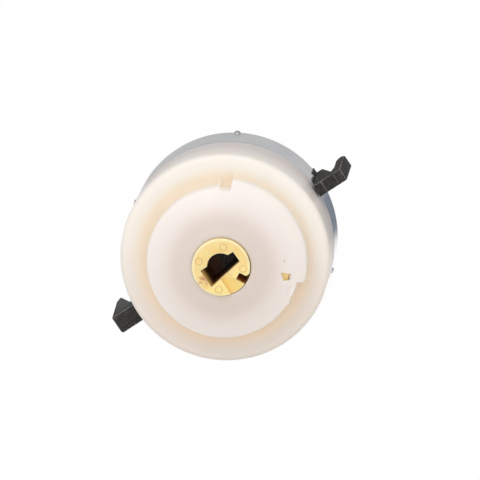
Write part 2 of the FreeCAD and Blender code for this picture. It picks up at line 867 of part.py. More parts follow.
# Rotor: a stepped shaft with a flange, a square drive and the slot for the lock's tang
def rotor():
    body = new_body("rotor_body")
    shaft = new_sketch(body, "rotor_profile", "XZ_Plane")
    outline(
        shaft,
        [
            ("0", "neck_low"),
            ("rotor_neck", "neck_low"),
            ("rotor_neck", "flange_under"),
            ("rotor_flange_radius", "flange_under"),
            ("rotor_flange_radius", "rim_crest"),
            ("rim_inner", "rim_crest"),
            ("rim_inner", "flange_over"),
            ("step_radius", "flange_over"),
            ("step_radius", "step_over"),
            ("rotor_radius", "step_over"),
            ("rotor_radius", "chamfer_low"),
            ("face_inner", "rotor_face"),
            ("0", "rotor_face"),
        ],
    )
    revolve(body, shaft, "rotor_shaft")
    drive = new_sketch(body, "drive_outline", "XY_Plane", "drive_low")
    outline(drive, rectangle("-drive_half", "drive_half", "-drive_half", "drive_half"))
    extrude(body, drive, "square_drive", "drive_height")
    slot = new_sketch(body, "slot_outline", "XY_Plane", "rotor_face")
    outline(
        slot,
        [
            ("-slot_left", "-slot_left_low"),
            ("slot_right", "-slot_right_low"),
            ("slot_right", "slot_right_high"),
            ("bulge_right", "slot_right_high"),
            ("-bulge_left", "slot_left_high"),
            ("-slot_left", "slot_left_high"),
        ],
        rounds={3: ("bulge_radius", 1)},
    )
    cut_down(body, slot, "tang_slot", "slot_depth")
    groove = new_sketch(body, "groove_outline", "XY_Plane", "rotor_face")
    outline(
        groove,
        [
            ("-groove_left", "-groove_near"),
            ("-groove_left", "-groove_far"),
            ("groove_mouth", "-groove_far"),
            ("groove_right", "-groove_bend"),
            ("groove_right", "-groove_near"),
        ],
    )
    cut_down(body, groove, "cross_groove", "groove_depth")
    pocket = new_sketch(body, "pocket_outline", "XY_Plane", "rotor_face")
    outline(
        pocket,
        [
            ("groove_right", "-groove_bend"),
            ("pocket_mouth_low", "-groove_far"),
            ("pocket_mouth_high", "-pocket_out"),
            ("pocket_right", "-pocket_side"),
            ("pocket_tip", "-pocket_high"),
        ],
    )
    cut_down(body, pocket, "deep_pocket", "pocket_depth")
    return keep(body, "rotor")


# Contact carrier: a cup with a detent rim, spring towers, guides for the contacts and a pivot
def contact_carrier():
    body = new_body("contact_carrier_body")
    cup = new_sketch(body, "carrier_profile", "XZ_Plane")
    outline(
        cup,
        [
            ("0", "pivot_foot"),
            ("pivot_radius", "pivot_foot"),
            ("pivot_radius", "carrier_low"),
            ("carrier_radius", "carrier_low"),
            ("carrier_radius", "carrier_rim"),
            ("carrier_rim_inner", "carrier_rim"),
            ("carrier_rim_inner", "carrier_floor"),
            ("hub_radius", "carrier_floor"),
            ("hub_radius", "hub_top"),
            ("0", "hub_top"),
        ],
    )
    revolve(body, cup, "carrier_cup")
    recess = new_sketch(body, "drive_socket_outline", "XY_Plane", "hub_top")
    outline(recess, rectangle("-socket_side", "socket_side", "-socket_side", "socket_side"))
    cut_down(body, recess, "drive_socket", "drive_socket_depth")
    for number, turn in enumerate(("bridge_one", "bridge_two", "bridge_three"), start=1):
        tower = new_sketch(body, "tower_%d_outline" % number, "XY_Plane", "carrier_low")
        circle(tower, "tower_radius", across="tower_centre")
        guide = new_sketch(body, "guide_%d_outline" % number, "XY_Plane", "carrier_low")
        outline(guide, rectangle("guide_near", "guide_far", "-guide_half", "guide_half"))
        pocket = new_sketch(body, "spring_pocket_%d_outline" % number, "XY_Plane", "carrier_low")
        circle(pocket, "pocket_radius", across="tower_centre")
        for sketch in (tower, guide, pocket):
            sketch.setExpression(".AttachmentOffset.Rotation.Angle", formula(turn))
        extrude(body, tower, "tower_%d" % number, "tower_height")
        cut_up(body, guide, "guide_%d" % number, "guide_depth")
        cut_up(body, pocket, "spring_pocket_%d" % number, "spring_pocket_depth")
    for name, centre in (("near_side", "notch_centre"), ("far_side", "-notch_centre")):
        notch = new_sketch(body, name + "_notch_outline", "XY_Plane", "carrier_floor")
        circle(notch, "notch_radius", up=centre)
        first = cut_up(body, notch, name + "_notch", "notch_height")
        row = body.newObject("PartDesign::PolarPattern", name + "_notches")
        row.Originals = [first]
        row.Axis = (notch, ["N_Axis"])
        row.Angle = 2 * size["detent_step"]
        row.setExpression("Angle", "2 * Sizes.detent_step")
        row.Occurrences = 3
        body.Tip = row
    return keep(body, "contact_carrier")


# Bridge contact: a copper bar with two dimples that slides over a feed and a track
def bridge_contact(label, turn):
    bar = doc.addObject("Part::Box", label + "_bar")
    bind(bar, Length="bridge_length", Width="bridge_width", Height="bridge_thick")
    bind(bar, **{".Placement.Base.x": "bridge_near", ".Placement.Base.y": "-bridge_half",
                 ".Placement.Base.z": "bridge_low"})
    pieces = [bar]
    for name, place in (("inner", "dimple_near"), ("outer", "dimple_far")):
        dimple = doc.addObject("Part::Cone", "%s_%s_dimple" % (label, name))
        bind(dimple, Radius1="dimple_tip", Radius2="dimple_radius", Height="dimple_height")
        bind(dimple, **{".Placement.Base.x": place, ".Placement.Base.z": "dimple_low"})
        pieces.append(dimple)
    contact = doc.addObject("Part::MultiFuse", label + "_shape")
    contact.Shapes = pieces
    turned(contact, turn)
    return keep(contact, label)


def coil(name, radius, wire, pitch, height, low, across=None):
    """A round wire wound on a helix that stands along the switch axis."""
    path = doc.addObject("Part::Helix", name + "_path")
    bind(path, Radius=radius, Pitch=pitch, Height=height)
    bind(path, **{".Placement.Base.z": low})
    wire_end = doc.addObject("Part::Circle", name + "_wire")
    bind(wire_end, Radius=wire)
    wire_end.Placement = Placement(Vector(value(radius), 0, value(low)), Rotation(Vector(1, 0, 0), 90))
    bind(wire_end, **{".Placement.Base.x": radius, ".Placement.Base.z": low})
    if across:
        bind(path, **{".Placement.Base.x": across})
        wire_end.setExpression(".Placement.Base.x", formula(radius) + " + " + formula(across))
    doc.recompute()
    sweep = doc.addObject("Part::Sweep", name + "_coil")
    sweep.Sections = [wire_end]
    sweep.Spine = (path, ["Edge1"])
    sweep.Solid = True
    sweep.Frenet = True
    return sweep


# Contact spring: pushes one bridge contact down onto its pads
def contact_spring(label, turn):
    spring = coil(label, "spring_radius", "spring_wire", "spring_pitch", "spring_height", "spring_low",
                  across="tower_centre")
    turned(spring, turn)
    return keep(spring, label)


# Return spring: turns the rotor back from start to run
def return_spring():
    spring = coil("return", "return_radius", "return_wire", "return_pitch", "return_turns_height",
                  "return_low")
    return keep(spring, "return_spring")


# Detent spring: a steel leaf held by the skirt's wall, its bend resting in a notch of the carrier
def detent_spring(label, turn):
    body = new_body(label + "_body")
    leaf = new_sketch(body, label + "_outline", "XY_Plane", "leaf_low")
    outline(
        leaf,
        [
            ("-leaf_end_x", "leaf_end_low"),
            ("-leaf_bend_x", "leaf_bend_low"),
            ("0", "leaf_tip"),
            ("leaf_bend_x", "leaf_bend_low"),
            ("leaf_end_x", "leaf_end_low"),
            ("leaf_end_x", "leaf_end_high"),
            ("leaf_bend_x", "leaf_bend_high"),
            ("0", "leaf_valley"),
            ("-leaf_bend_x", "leaf_bend_high"),
            ("-leaf_end_x", "leaf_end_high"),
        ],
    )
    extrude(body, leaf, label + "_leaf", "leaf_height")
    turned(body, turn)
    return keep(body, label)


# Thrust washer: between the rotor's step and the cover's collar
def thrust_washer():
    body = new_body("thrust_washer_body")
    ring = new_sketch(body, "washer_outline", "XY_Plane", "washer_low")
    circle(ring, "washer_outer")
    circle(ring, "washer_inner")
    extrude(body, ring, "washer", "washer_thick")
    return keep(body, "thrust_washer")


front_cover()
shell_band()
rear_base(terminals())
rotor()
contact_carrier()
thrust_washer()
return_spring()
for number, angle in enumerate(("bridge_one", "bridge_two", "bridge_three"), start=1):
    bridge_contact("bridge_contact_%d" % number, angle)
    contact_spring("contact_spring_%d" % number, angle)
detent_spring("detent_spring_near", "near_leaf")
detent_spring("detent_spring_far", "far_leaf")
doc.recompute()

failed = [item.Name for item in doc.Objects if "Invalid" in item.State or "Error" in item.State]
if failed:
    raise RuntimeError("These objects failed: " + ", ".join(failed))
os.makedirs("parts", exist_ok=True)
for piece in parts:
    shape = piece.Shape
    if shape.isNull() or not shape.isValid():
        raise RuntimeError(piece.Label + " has no valid shape")
for piece in parts:
    piece.Shape.exportStep("parts/%s.step" % piece.Label)
    print("%-26s %10.1f mm3" % (piece.Label, piece.Shape.Volume))
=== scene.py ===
"""Looks of a rotary ignition switch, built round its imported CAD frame."""

import json
import math

import bmesh
import bpy
from mathutils import Matrix, Vector


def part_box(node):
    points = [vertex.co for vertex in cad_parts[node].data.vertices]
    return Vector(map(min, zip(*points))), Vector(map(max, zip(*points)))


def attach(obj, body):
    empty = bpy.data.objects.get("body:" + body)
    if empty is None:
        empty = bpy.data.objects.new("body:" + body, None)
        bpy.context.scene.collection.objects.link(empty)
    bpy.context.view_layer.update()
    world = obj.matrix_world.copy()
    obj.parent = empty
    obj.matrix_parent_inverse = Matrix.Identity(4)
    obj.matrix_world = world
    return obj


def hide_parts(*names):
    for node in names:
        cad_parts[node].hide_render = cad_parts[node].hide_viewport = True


bl_info = {
    "name": "Ignition Switch",
    "version": (1, 0, 0),
    "blender": (4, 5, 0),
    "location": "View3D > Sidebar > Switch",
    "description": "Builds the mouldings, the steel band and the finishes of a rotary ignition switch",
    "category": "Object",
}

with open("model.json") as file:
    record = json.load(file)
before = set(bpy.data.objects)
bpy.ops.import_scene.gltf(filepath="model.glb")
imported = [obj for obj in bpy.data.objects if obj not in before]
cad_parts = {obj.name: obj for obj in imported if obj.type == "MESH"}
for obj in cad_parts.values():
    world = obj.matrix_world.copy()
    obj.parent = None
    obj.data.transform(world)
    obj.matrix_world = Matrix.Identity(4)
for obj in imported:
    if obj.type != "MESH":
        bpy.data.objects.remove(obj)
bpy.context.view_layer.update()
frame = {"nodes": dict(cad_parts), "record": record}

# One millimetre in Blender's metres. Plans and the numbers that stand with MM are in millimetres.
MM = 0.001

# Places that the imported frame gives
COVER_LOW, COVER_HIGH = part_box("front_cover")
BAND_LOW, BAND_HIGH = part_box("shell_band")
ROTOR_LOW, ROTOR_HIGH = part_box("rotor")
BASE_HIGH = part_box("rear_base")[1]

# The boss is this wide between these angles, and has its plain radius elsewhere. The last two numbers
# are the widths of the steps at the start and the end, in degrees.
BOSS_PLAN = (
    (-48.0, 50.1, 15.45, 0.9, 0.5),
    (50.1, 58.2, 13.7, 0.5, 3.4),
    (58.6, 61.0, 14.4, 1.2, 1.0),
    (-67.5, -64.8, 14.4, 0.8, 0.8),
)

# The window in the dome, and how far its cut spreads at its ledge (None) and at heights over the dome
WINDOW = ((8.2, -7.15), (9.45, -8.5), (8.75, -9.4), (7.7, -8.8))
WINDOW_FLARE = ((0.0, None), (0.0, -0.14), (0.04, -0.05), (0.12, 0.0), (0.7, 0.5))
WINDOW_LEDGE = 4.3

# The shallow notch in the dome's edge: its angles, its two radii and the height of its outer end
NOTCH_TURNS = [-59.5 + 0.75 * step for step in range(11)]
NOTCH_INNER = 12.9
NOTCH_OUTER = 17.0
NOTCH_DEPTH = 0.45
NOTCH_END = 3.4

# Corners of the rotor's slot, its cross groove with its share of the depth at each corner, and its pocket
SLOT = ((-3.55, -2.1), (3.55, -0.93), (3.5, 1.25), (2.33, 1.3), (-2.12, 1.58), (-3.55, 1.6))
SLOT_BULGE = 3
SLOT_BULGE_RADIUS = 2.6
GROOVE = ((-1.25, -1.2), (-1.42, -6.0), (3.4, -6.0), (1.03, -3.3), (0.67, -1.2))
GROOVE_SHARES = (1.0, 1.0, 0.75, 0.3, 0.12)
POCKET = ((1.0, -3.3), (1.56, -4.6), (2.7, -6.0), (4.7, -3.9), (2.96, -3.77), (2.32, -2.64))
RING_MARKS = ((2.5, 2.97), (-2.76, 3.2), (3.3, -2.37), (-2.63, -3.18))
STAIN = (-4.2, -0.3)
TOOTH_TURN = 9.0

# The speck on the dome, its last number the depth under the dome's top
DOME_SPECK = (9.98, -5.69, 2.23)

# Angle round the axis that is up in the picture, and the way that the rotor's head lies off the axis
PICTURE_UP = 56.0
PLAY_WAY = (-0.44, 0.9, 0.0)

# Blade places in the connector, and the angles of the band's lugs
BLADES = [(x, y) for x in (-9.2, -3.4, 3.4, 9.2) for y in (-4.9, 4.9)]
LUG_ANGLES = (54.2, 128.3, -53.6, -126.4)

# Left, right, near and far side of the two cheeks beside the arms' roots. The band's cut-outs are a
# little wider, and go right through its wall.
CHEEKS = (("narrow_cheek", 19.0, 19.5, -2.275, 2.275), ("wide_cheek", -19.5, -19.0, -3.515, 2.035))
CHEEK_LOW = 20.4
CHEEK_HIGH = 25.4
CHEEK_EDGE = 0.08
CHEEK_GAP = 0.05
GATE_REACH = 1.5

# Heights of the black base: where its disc, the arms' roots and the floor of its socket lie
DISC_LOW = 16.2
DISC_HIGH = 24.0
ARM_ROOT_HIGH = 23.0
SOCKET_FLOOR = 14.6

# The connector shroud, half its width and depth, its corner's radius and its wall, and the blocks on it.
# A block has an outline, two ends, and the axis that runs between these.
SHROUD_HALF_X = 13.0
SHROUD_HALF_Y = 8.6
SHROUD_CORNER = 3.4
SHROUD_WALL = 1.5
SHROUD_BLOCKS = (
    ("latch_nose", ((8.5, 4.0), (10.1, 7.2), (10.1, 8.4), (8.5, 8.4)), -3.2, 3.2, "X"),
    ("left_key_rib", ((-7.0, -7.2), (-5.6, -7.2), (-5.6, -5.9), (-7.0, -5.9)), 3.0, 14.7, "Z"),
    ("right_key_rib", ((5.6, -7.2), (7.0, -7.2), (7.0, -5.9), (5.6, -5.9)), 3.0, 14.7, "Z"),
)
BLADE_COLLAR = {"Width": 4.2 * MM, "Depth": 2.0 * MM, "Height": 0.7 * MM, "Corner": 0.4 * MM}

# Half the width of the rotor's square drive, and its corner's radius
DRIVE_HALF = 3.45
DRIVE_CORNER = 0.4

# Two sectors of the floor as the glossy pieces mirror it, a dimmer one and a shadow: their direction,
# their half width and the half width of their even middle, in degrees
MIRROR_SHADE = (42.0, 98.0, 78.0)
MIRROR_SHADOW = (-28.0, 19.0, 9.0)

# Lathed shapes have a pin hole of this radius, because a profile can't touch the axis
PIN_HOLE = 0.02
SMOOTH_ANGLE = 32.0
WHITE = (1.0, 1.0, 1.0)

# The picture's width in pixels
PICTURE = 480.0

# Colour, dull colour, roughness and the scale of the fine lines of each inner metal
INNER_METALS = {
    "spring_steel": ((0.5, 0.5, 0.51), (0.34, 0.34, 0.35), 0.3, (300.0, 300.0, 3000.0)),
    "contact_copper": ((0.83, 0.47, 0.29), (0.5, 0.24, 0.13), 0.28, (2500.0, 300.0, 300.0)),
    "tinned_brass": ((0.76, 0.75, 0.71), (0.6, 0.56, 0.44), 0.24, (2600.0, 2600.0, 120.0)),
}


def amount(name, description, default, **more):
    """A property that holds one number."""
    return bpy.props.FloatProperty(name=name, description=description, default=default, **more)


def length(name, description, millimetres):
    """A length property, given in millimetres and kept in metres."""
    return amount(name, description, millimetres * MM, min=0.0, precision=4, unit="LENGTH")


def share(name, description, default):
    """A property between nought and one."""
    return amount(name, description, default, min=0.0, max=1.0, subtype="FACTOR")


def angle(name, description, degrees):
    """An angle property, given in degrees and kept in radians."""
    return amount(name, description, math.radians(degrees), subtype="ANGLE")


def colour(name, where, *default):
    """A colour property."""
    return bpy.props.FloatVectorProperty(name=name, description="Colour of " + where, default=default,
                                         min=0.0, max=1.0, size=3, subtype="COLOR")


class SwitchCoverSettings(bpy.types.PropertyGroup):
    """The white front cover."""

    edge_round: length("Shoulder rounding", "Radius of the shoulder's outer edge", 1.2)
    foot_round: length("Foot rounding", "Hollow radius where the boss meets the shoulder", 1.0)
    rim_round: length("Rim rounding", "Radius of the boss's upper edge", 0.75)
    bore_round: length("Bore rounding", "Radius of the edge round the rotor", 0.13)
    boss_radius: length("Boss radius", "Radius of the boss where it is narrow", 14.15)
    boss_height: length("Boss height", "Height of the boss's edge over the shoulder", 4.2)
    dome_rise: length("Dome rise", "Rise of the dome from the boss's edge to the bore", 3.9)
    dome_radius: length("Dome radius", "Radius of the dome's curve", 24.4)
    bore_radius: length("Bore radius", "Radius of the hole for the rotor", 5.45)
    wall: length("Dome wall", "Thickness of the dome's wall", 0.7)
    # Painted shade: the dome darker round the bore
    shade: colour("Nylon", "the thin dome", 0.755, 0.695, 0.65)
    # Painted light and shade: the shoulder lighter towards the picture's top, darker towards its bottom
    ring: colour("Shoulder", "the thick shoulder", 0.96, 0.915, 0.86)
    ring_shaded: colour("Shadowed shoulder", "the shoulder's shadier side", 0.805, 0.765, 0.71)
    # Painted glow of light in the hollow round the boss, also the tint of the flow marks
    hollow_glow_and_flow: colour("Warm hollow", "the hollow that light shines through", 0.95, 0.8, 0.62)
    # Painted light: the dome lighter at its rim
    pale: colour("Pale rim", "the dome's rim", 1.0, 0.915, 0.885)
    # Painted shade: the wall darker next to the band
    wall_shaded: colour("Lower wall", "the wall next to the band", 0.72, 0.68, 0.67)
    speck: colour("Speck", "the small speck on the dome", 0.68, 0.58, 0.57)


class SwitchBandSettings(bpy.types.PropertyGroup):
    """The steel band round the skirt."""

    thickness: length("Sheet thickness", "Thickness of the rolled sheet", 0.5)
    bend: length("Rear bend", "Radius of the rolled rear edge", 0.9)
    lip_radius: length("Lip radius", "Inner radius of the rear lip", 17.7)
    lug_width: length("Lug width", "Half width of a pressed lug", 0.62)
    lug_rise: length("Lug rise", "How far a lug stands out", 0.45)
    shade: colour("Steel", "the plated steel", 0.86, 0.87, 0.89)
    lug_shade: share("Lug shade", "How bright a lug is, next to the band", 0.7)
    polish: share("Roughness", "Roughness of the plated steel", 0.19)


class SwitchRotorSettings(bpy.types.PropertyGroup):
    """The yellow rotor."""

    radius: length("Head radius", "Radius of the rotor's head", 5.38)
    play: length("Play", "How far the head lies off the axis in its bore", 0.068)
    rim_bevel: length("Rim bevel", "Width of the bevel round the head", 0.25)
    slot_depth: length("Slot depth", "Depth of the slot for the lock's tang", 11.5)
    groove_depth: length("Groove depth", "Depth of the cross groove along its deeper side", 0.9)
    pocket_depth: length("Pocket depth", "Depth of the pocket at the rim", 7.0)
    edge_break: length("Edge break", "Width of the rounding on the slot's edges", 0.07)
    mark_radius: length("Mark radius", "Radius of the raised ring marks", 0.62)
    mark_wire: length("Mark height", "Half thickness of a ring mark", 0.07)
    shade: colour("Yellow", "the rotor", 0.91, 0.695, 0.25)
    # Painted highlights on the head's rim and edges, also the tint of the flow marks
    bright: colour("Bright edge", "its rubbed edges", 1.0, 0.96, 0.7)
    # Painted light on the face beside the groove
    wear_and_lit_face: colour("Lit side", "the face beside the groove", 1.0, 0.84, 0.33)
    stain: colour("Stain", "the smear on its rim", 0.5, 0.2, 0.11)
    # Painted shade deep in the slot and the pocket, with painted glints in the slot's blacker end
    deep_shade: colour("Darkness", "the dim grease deep in the slot", 0.19, 0.07, 0.034)
    far_end_shade: colour("Blackness", "the blacker end of the slot", 0.03, 0.042, 0.045)
    glint: colour("Glints", "the bright sparkles in the slot's blacker end", 0.16, 0.22, 0.23)
    pocket: colour("Pocket", "the deep pocket's walls", 0.62, 0.27, 0.09)
    end_wall: colour("End wall", "the slot's lit end wall", 1.0, 0.68, 0.26)
    # Painted light: the flange under the window painted brighter, and glowing
    flange: colour("Flange", "the toothed flange under the dome", 1.0, 0.8, 0.36)
    through: share("Light through", "Strength of the light that the dome lets on to the flange", 0.2)
    # Painted shade: darker lines round the raised ring marks
    line: colour("Mark lines", "the fine lines round the ring marks", 0.72, 0.4, 0.14)


class SwitchBaseSettings(bpy.types.PropertyGroup):
    """The black rear base with its arms and connector shroud."""

    edge_break: length("Edge break", "Rounding of the arms' edges", 0.16)
    tip_round: length("Tip rounding", "Rounding of one outer edge on each arm", 0.5)
    step: length("Arm step", "Height of the shallow steps across the arms' faces", 0.12)
    narrow_width: length("Narrow arm width", "Width of the arm on the +X side", 2.45)
    wide_width: length("Wide arm width", "Width of the arm on the -X side", 3.45)
    shade: colour("Black", "the base", 0.018, 0.0175, 0.016)
    # Painted highlights on the edges, also the colour of the dusty patches and specks
    sheen_and_mottle: colour("Sheen edge", "its rubbed edges", 0.56, 0.57, 0.56)


class SwitchStageSettings(bpy.types.PropertyGroup):
    """Camera, floor and lights."""

    tilt: angle("View tilt", "Angle between the view and the switch axis", 11.8)
    turn: angle("View turn", "Side of the axis that the view comes from", 34.8)
    roll: angle("Picture up", "Direction on the switch that is up in the picture", PICTURE_UP)
    distance: length("Distance", "Distance from the camera to the shoulder", 1200.0)
    aim_right: length("Aim right", "Sideways step of the camera", 2.82)
    aim_up: length("Aim up", "Upward step of the camera", 3.41)
    shown_radius: amount("Shown radius", "Radius of the shoulder in pixels of a 480 pixel picture", 105.4)
    floor: colour("Floor", "the floor", 0.55, 0.55, 0.55)
    floor_glow: share("Floor glow", "How white the floor looks to the camera", 0.93)
    sky: amount("Sky", "Strength of the soft light", 1.14, min=0.0)
    sky_top: colour("Light from above", "the light from the picture's top", 1.0, 0.97, 0.965)
    sky_bottom: colour("Light from below", "the light from the picture's bottom", 0.88, 0.82, 0.785)
    mirrored: amount("Mirrored floor", "How bright the floor looks in the glossy pieces", 1.08, min=0.0)
    shaded: share("Shaded floor", "The same for the floor beside the view", 0.55)
    shadow: colour("Mirrored shadow", "the arm's shadow in the glossy pieces", 0.4, 0.45, 0.52)
    key: amount("Key light", "Power of the key light", 1.5, min=0.0, subtype="POWER")


def polar(radius, degrees):
    """The point at a distance and an angle from a centre."""
    turn = math.radians(degrees)
    return radius * math.cos(turn), radius * math.sin(turn)


def arc(centre, radius, first, last, steps):
    """Points on an arc, from one angle in degrees to another."""
    points = [polar(radius, first + (last - first) * step / steps) for step in range(steps + 1)]
    return [(centre[0] + x, centre[1] + y) for x, y in points]


def span(start, end, steps):
    """Points between two points, without these two."""
    return [tuple(a + (b - a) * step / steps for a, b in zip(start, end)) for step in range(1, steps)]


def rectangle(left, right, near, far):
    """The corners of a rectangle."""
    return (left, near), (right, near), (right, far), (left, far)


def layers(corners, *heights):
    """A plan's corners, in millimetres, at each of some heights, in metres."""
    return [[(x * MM, y * MM, height) for x, y in corners] for height in heights]


def turned(count, profile_at, steps=()):
    """A closed profile swept round the switch axis. The profile may change with the angle.

    It is taken at so many even angles, and more closely at the steps, each given as its angle and width.
    """
    turns = {round(360.0 * number / count - 180.0, 4) for number in range(count)}
    for place, width in steps:
        turns |= {round(place + width * number / 10, 4) for number in range(-5, 6)}
    bm = bmesh.new()
    rings = []
    for turn in sorted(turns):
        across, along = polar(1.0, turn)
        rings.append([bm.verts.new((radius * across, radius * along, height))
                      for radius, height in profile_at(turn)])
    for number, ring in enumerate(rings):
        following = rings[(number + 1) % len(rings)]
        for row in range(len(ring)):
            after = (row + 1) % len(ring)
            bm.faces.new((ring[row], following[row], following[after], ring[after]))
    return bm


def stacked(loops):
    """A solid through loops of points that lie one above the other."""
    bm = bmesh.new()
    rings = [[bm.verts.new(point) for point in loop] for loop in loops]
    for lower, upper in zip(rings, rings[1:]):
        for number in range(len(lower)):
            after = (number + 1) % len(lower)
            bm.faces.new((lower[number], lower[after], upper[after], upper[number]))
    bm.faces.new(rings[0][::-1])
    bm.faces.new(rings[-1])
    bmesh.ops.recalc_face_normals(bm, faces=bm.faces)
    return bm


def add_object(name, data):
    """A new object in the scene."""
    made = bpy.data.objects.new(name, data)
    bpy.context.scene.collection.objects.link(made)
    return made


def mesh_object(name, bm):
    """A new object with the mesh that was built in bm."""
    mesh = bpy.data.meshes.new(name)
    bm.to_mesh(mesh)
    bm.free()
    return add_object(name, mesh)


def smooth_faces(mesh, sharp_angle=SMOOTH_ANGLE):
    """Smooth shading, with sharp edges over an angle."""
    mesh.shade_smooth()
    mesh.set_sharp_from_angle(angle=math.radians(sharp_angle))


def piece(name, bm, material, sharp_angle=SMOOTH_ANGLE):
    """A finished mesh object at the origin, its faces outwards."""
    bmesh.ops.remove_doubles(bm, verts=bm.verts, dist=1e-7)
    bmesh.ops.recalc_face_normals(bm, faces=bm.faces)
    made = mesh_object(name, bm)
    made.data.materials.append(material)
    smooth_faces(made.data, sharp_angle)
    return made


def settle(made):
    """Turn an object's modifiers into its plain mesh."""
    bpy.context.view_layer.update()
    graph = bpy.context.evaluated_depsgraph_get()
    mesh = bpy.data.meshes.new_from_object(made.evaluated_get(graph), depsgraph=graph)
    mesh.name = made.name
    made.modifiers.clear()
    made.data = mesh


def carve(made, **cuts):
    """Cut solids out of an object, one after another, each given as its loops of points."""
    cutters = [mesh_object(name, stacked(loops)) for name, loops in cuts.items()]
    for cutter in cutters:
        cut = made.modifiers.new("carve", "BOOLEAN")
        cut.operation = "DIFFERENCE"
        cut.solver = "EXACT"
        cut.object = cutter
    settle(made)
    for cutter in cutters:
        bpy.data.objects.remove(cutter)


def dress(made, body, slot, *nodes):
    """Let a finished piece ride on its body, and stand for the CAD nodes it dresses."""
    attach(made, body)
    if nodes:
        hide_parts(*nodes)


def ease(distance, width):
    """Nought before a step and one after it, with a smooth rise between."""
    part = min(max(distance / width + 0.5, 0.0), 1.0)
    return part * part * (3 - 2 * part)


def boss_radius_at(turn, plain):
    """The boss's radius at an angle, with soft steps between its parts."""
    radius = plain
    for start, end, reach, start_width, end_width in BOSS_PLAN:
        inside = min(ease(turn - start, start_width), ease(end - turn, end_width))
        radius += (reach * MM - radius) * inside
    return radius


def shoulder_height(settings):
    """The height of the cover's shoulder."""
    return COVER_HIGH.z - settings.dome_rise - settings.boss_height


def scaled(shade, factor):
    """A colour made darker or lighter."""
    return tuple(min(1.0, part * factor) for part in shade)


class NodeKit:
    """Adds and links the nodes of a tree in plain steps."""

    def __init__(self, tree):
        self.tree = tree

    def add(self, kind, settings=None, *values, **inputs):
        """A new node. Its inputs are values, nodes or outputs, by their order or by name."""
        made = self.tree.nodes.new(kind)
        for key, value in (settings or {}).items():
            setattr(made, key, value)
        for number, value in enumerate(values):
            self.feed(made.inputs[number], value)
        for key, value in inputs.items():
            self.feed(made.inputs[key.replace("_", " ")], value)
        return made

    def feed(self, socket, value):
        """Link an output, or a node's first output, to a socket, or set the socket's value."""
        if isinstance(value, bpy.types.Node):
            value = value.outputs[0]
        if isinstance(value, bpy.types.NodeSocket):
            self.tree.links.new(value, socket)
        elif socket.type == "RGBA":
            socket.default_value = (*value[:3], 1.0)
        else:
            socket.default_value = value

    def ranged(self, value, low, high, new_low=0.0, new_high=1.0, kind="LINEAR"):
        """Stretch a value from one range to another."""
        return self.add("ShaderNodeMapRange", {"interpolation_type": kind}, value, low, high, new_low,
                        new_high)

    def smooth(self, value, low, high, new_low=0.0, new_high=1.0):
        """The same with soft ends."""
        return self.ranged(value, low, high, new_low, new_high, "SMOOTHSTEP")

    def fade(self, value, start, end, base=0.0):
        """Nought at a start and one at an end, both in millimetres from a base in metres."""
        return self.smooth(value, base + start * MM, base + end * MM)

    def maths(self, operation, first, second):
        """One sum."""
        return self.add("ShaderNodeMath", {"operation": operation}, first, second)

    def times(self, first, *others):
        """The product of some values."""
        for other in others:
            first = self.maths("MULTIPLY", first, other)
        return first

    def vector(self, operation, first, second=(0.0, 0.0, 0.0)):
        """One sum with vectors, as a vector or, for a dot product or a distance, as a number."""
        made = self.add("ShaderNodeVectorMath", {"operation": operation}, first, second)
        return made.outputs["Value" if operation in ("DOT_PRODUCT", "DISTANCE", "LENGTH") else "Vector"]

    def mix(self, factor, first, second, kind="MIX"):
        """Blend two colours."""
        made = self.add("ShaderNodeMix", {"data_type": "RGBA", "blend_type": kind}, factor)
        self.feed(made.inputs[6], first)
        self.feed(made.inputs[7], second)
        return made.outputs[2]


class Finish(NodeKit):
    """One material, its nodes on the object's coordinates, and its tint so far."""

    def __init__(self, name, tint):
        self.material = bpy.data.materials.new(name)
        self.material.use_nodes = True
        super().__init__(self.material.node_tree)
        self.shader = self.tree.nodes["Principled BSDF"]
        self.place = self.add("ShaderNodeTexCoord").outputs["Object"]
        self.tint = tint

    def lay(self, shade, *cover):
        """Lay a colour over the tint, as far as the product of the cover values says."""
        self.tint = self.mix(self.times(*cover), self.tint, shade)

    def finished(self, **inputs):
        """The material, once its tint and the shader's other sockets are set."""
        for key, value in {"Base_Color": self.tint, **inputs}.items():
            self.feed(self.shader.inputs[key.replace("_", " ")], value)
        return self.material

    def noise(self, scale, detail=2.0, rough=0.5, where=None):
        """A seedless noise between nought and one."""
        return self.add("ShaderNodeTexNoise", Vector=where or self.place, Scale=scale, Detail=detail,
                        Roughness=rough)

    def lines(self, scale):
        """Noise stretched to streaks."""
        return self.noise(1.0, where=self.add("ShaderNodeMapping", Vector=self.place, Scale=scale))

    def parts(self):
        """The object's coordinates one by one."""
        return self.add("ShaderNodeSeparateXYZ", Vector=self.place).outputs

    def flat(self):
        """The object's coordinates without the height."""
        return self.vector("MULTIPLY", self.place, (1.0, 1.0, 0.0))

    def from_axis(self):
        """The distance from the switch axis."""
        return self.vector("LENGTH", self.flat())

    def from_point(self, place, height):
        """The distance from a place in millimetres at a height in metres."""
        return self.vector("DISTANCE", self.place, (place[0] * MM, place[1] * MM, height))

    def toward(self, degrees):
        """One on the side of the axis that an angle names, and minus one on the far side."""
        return self.vector("DOT_PRODUCT", self.vector("NORMALIZE", self.flat()), (*polar(1.0, degrees), 0.0))

    def edges(self, radius):
        """One on an outer edge, nought on a flat face."""
        rounded = self.add("ShaderNodeBevel", {"samples": 4}, Radius=radius)
        plain = self.add("ShaderNodeNewGeometry").outputs["Normal"]
        return self.smooth(self.vector("DOT_PRODUCT", rounded, plain), 0.99, 0.86)

    def bump(self, height, distance, strength, **under):
        """A bump from a height map, over the normal under it."""
        return self.add("ShaderNodeBump", Height=height, Distance=distance, Strength=strength, **under)


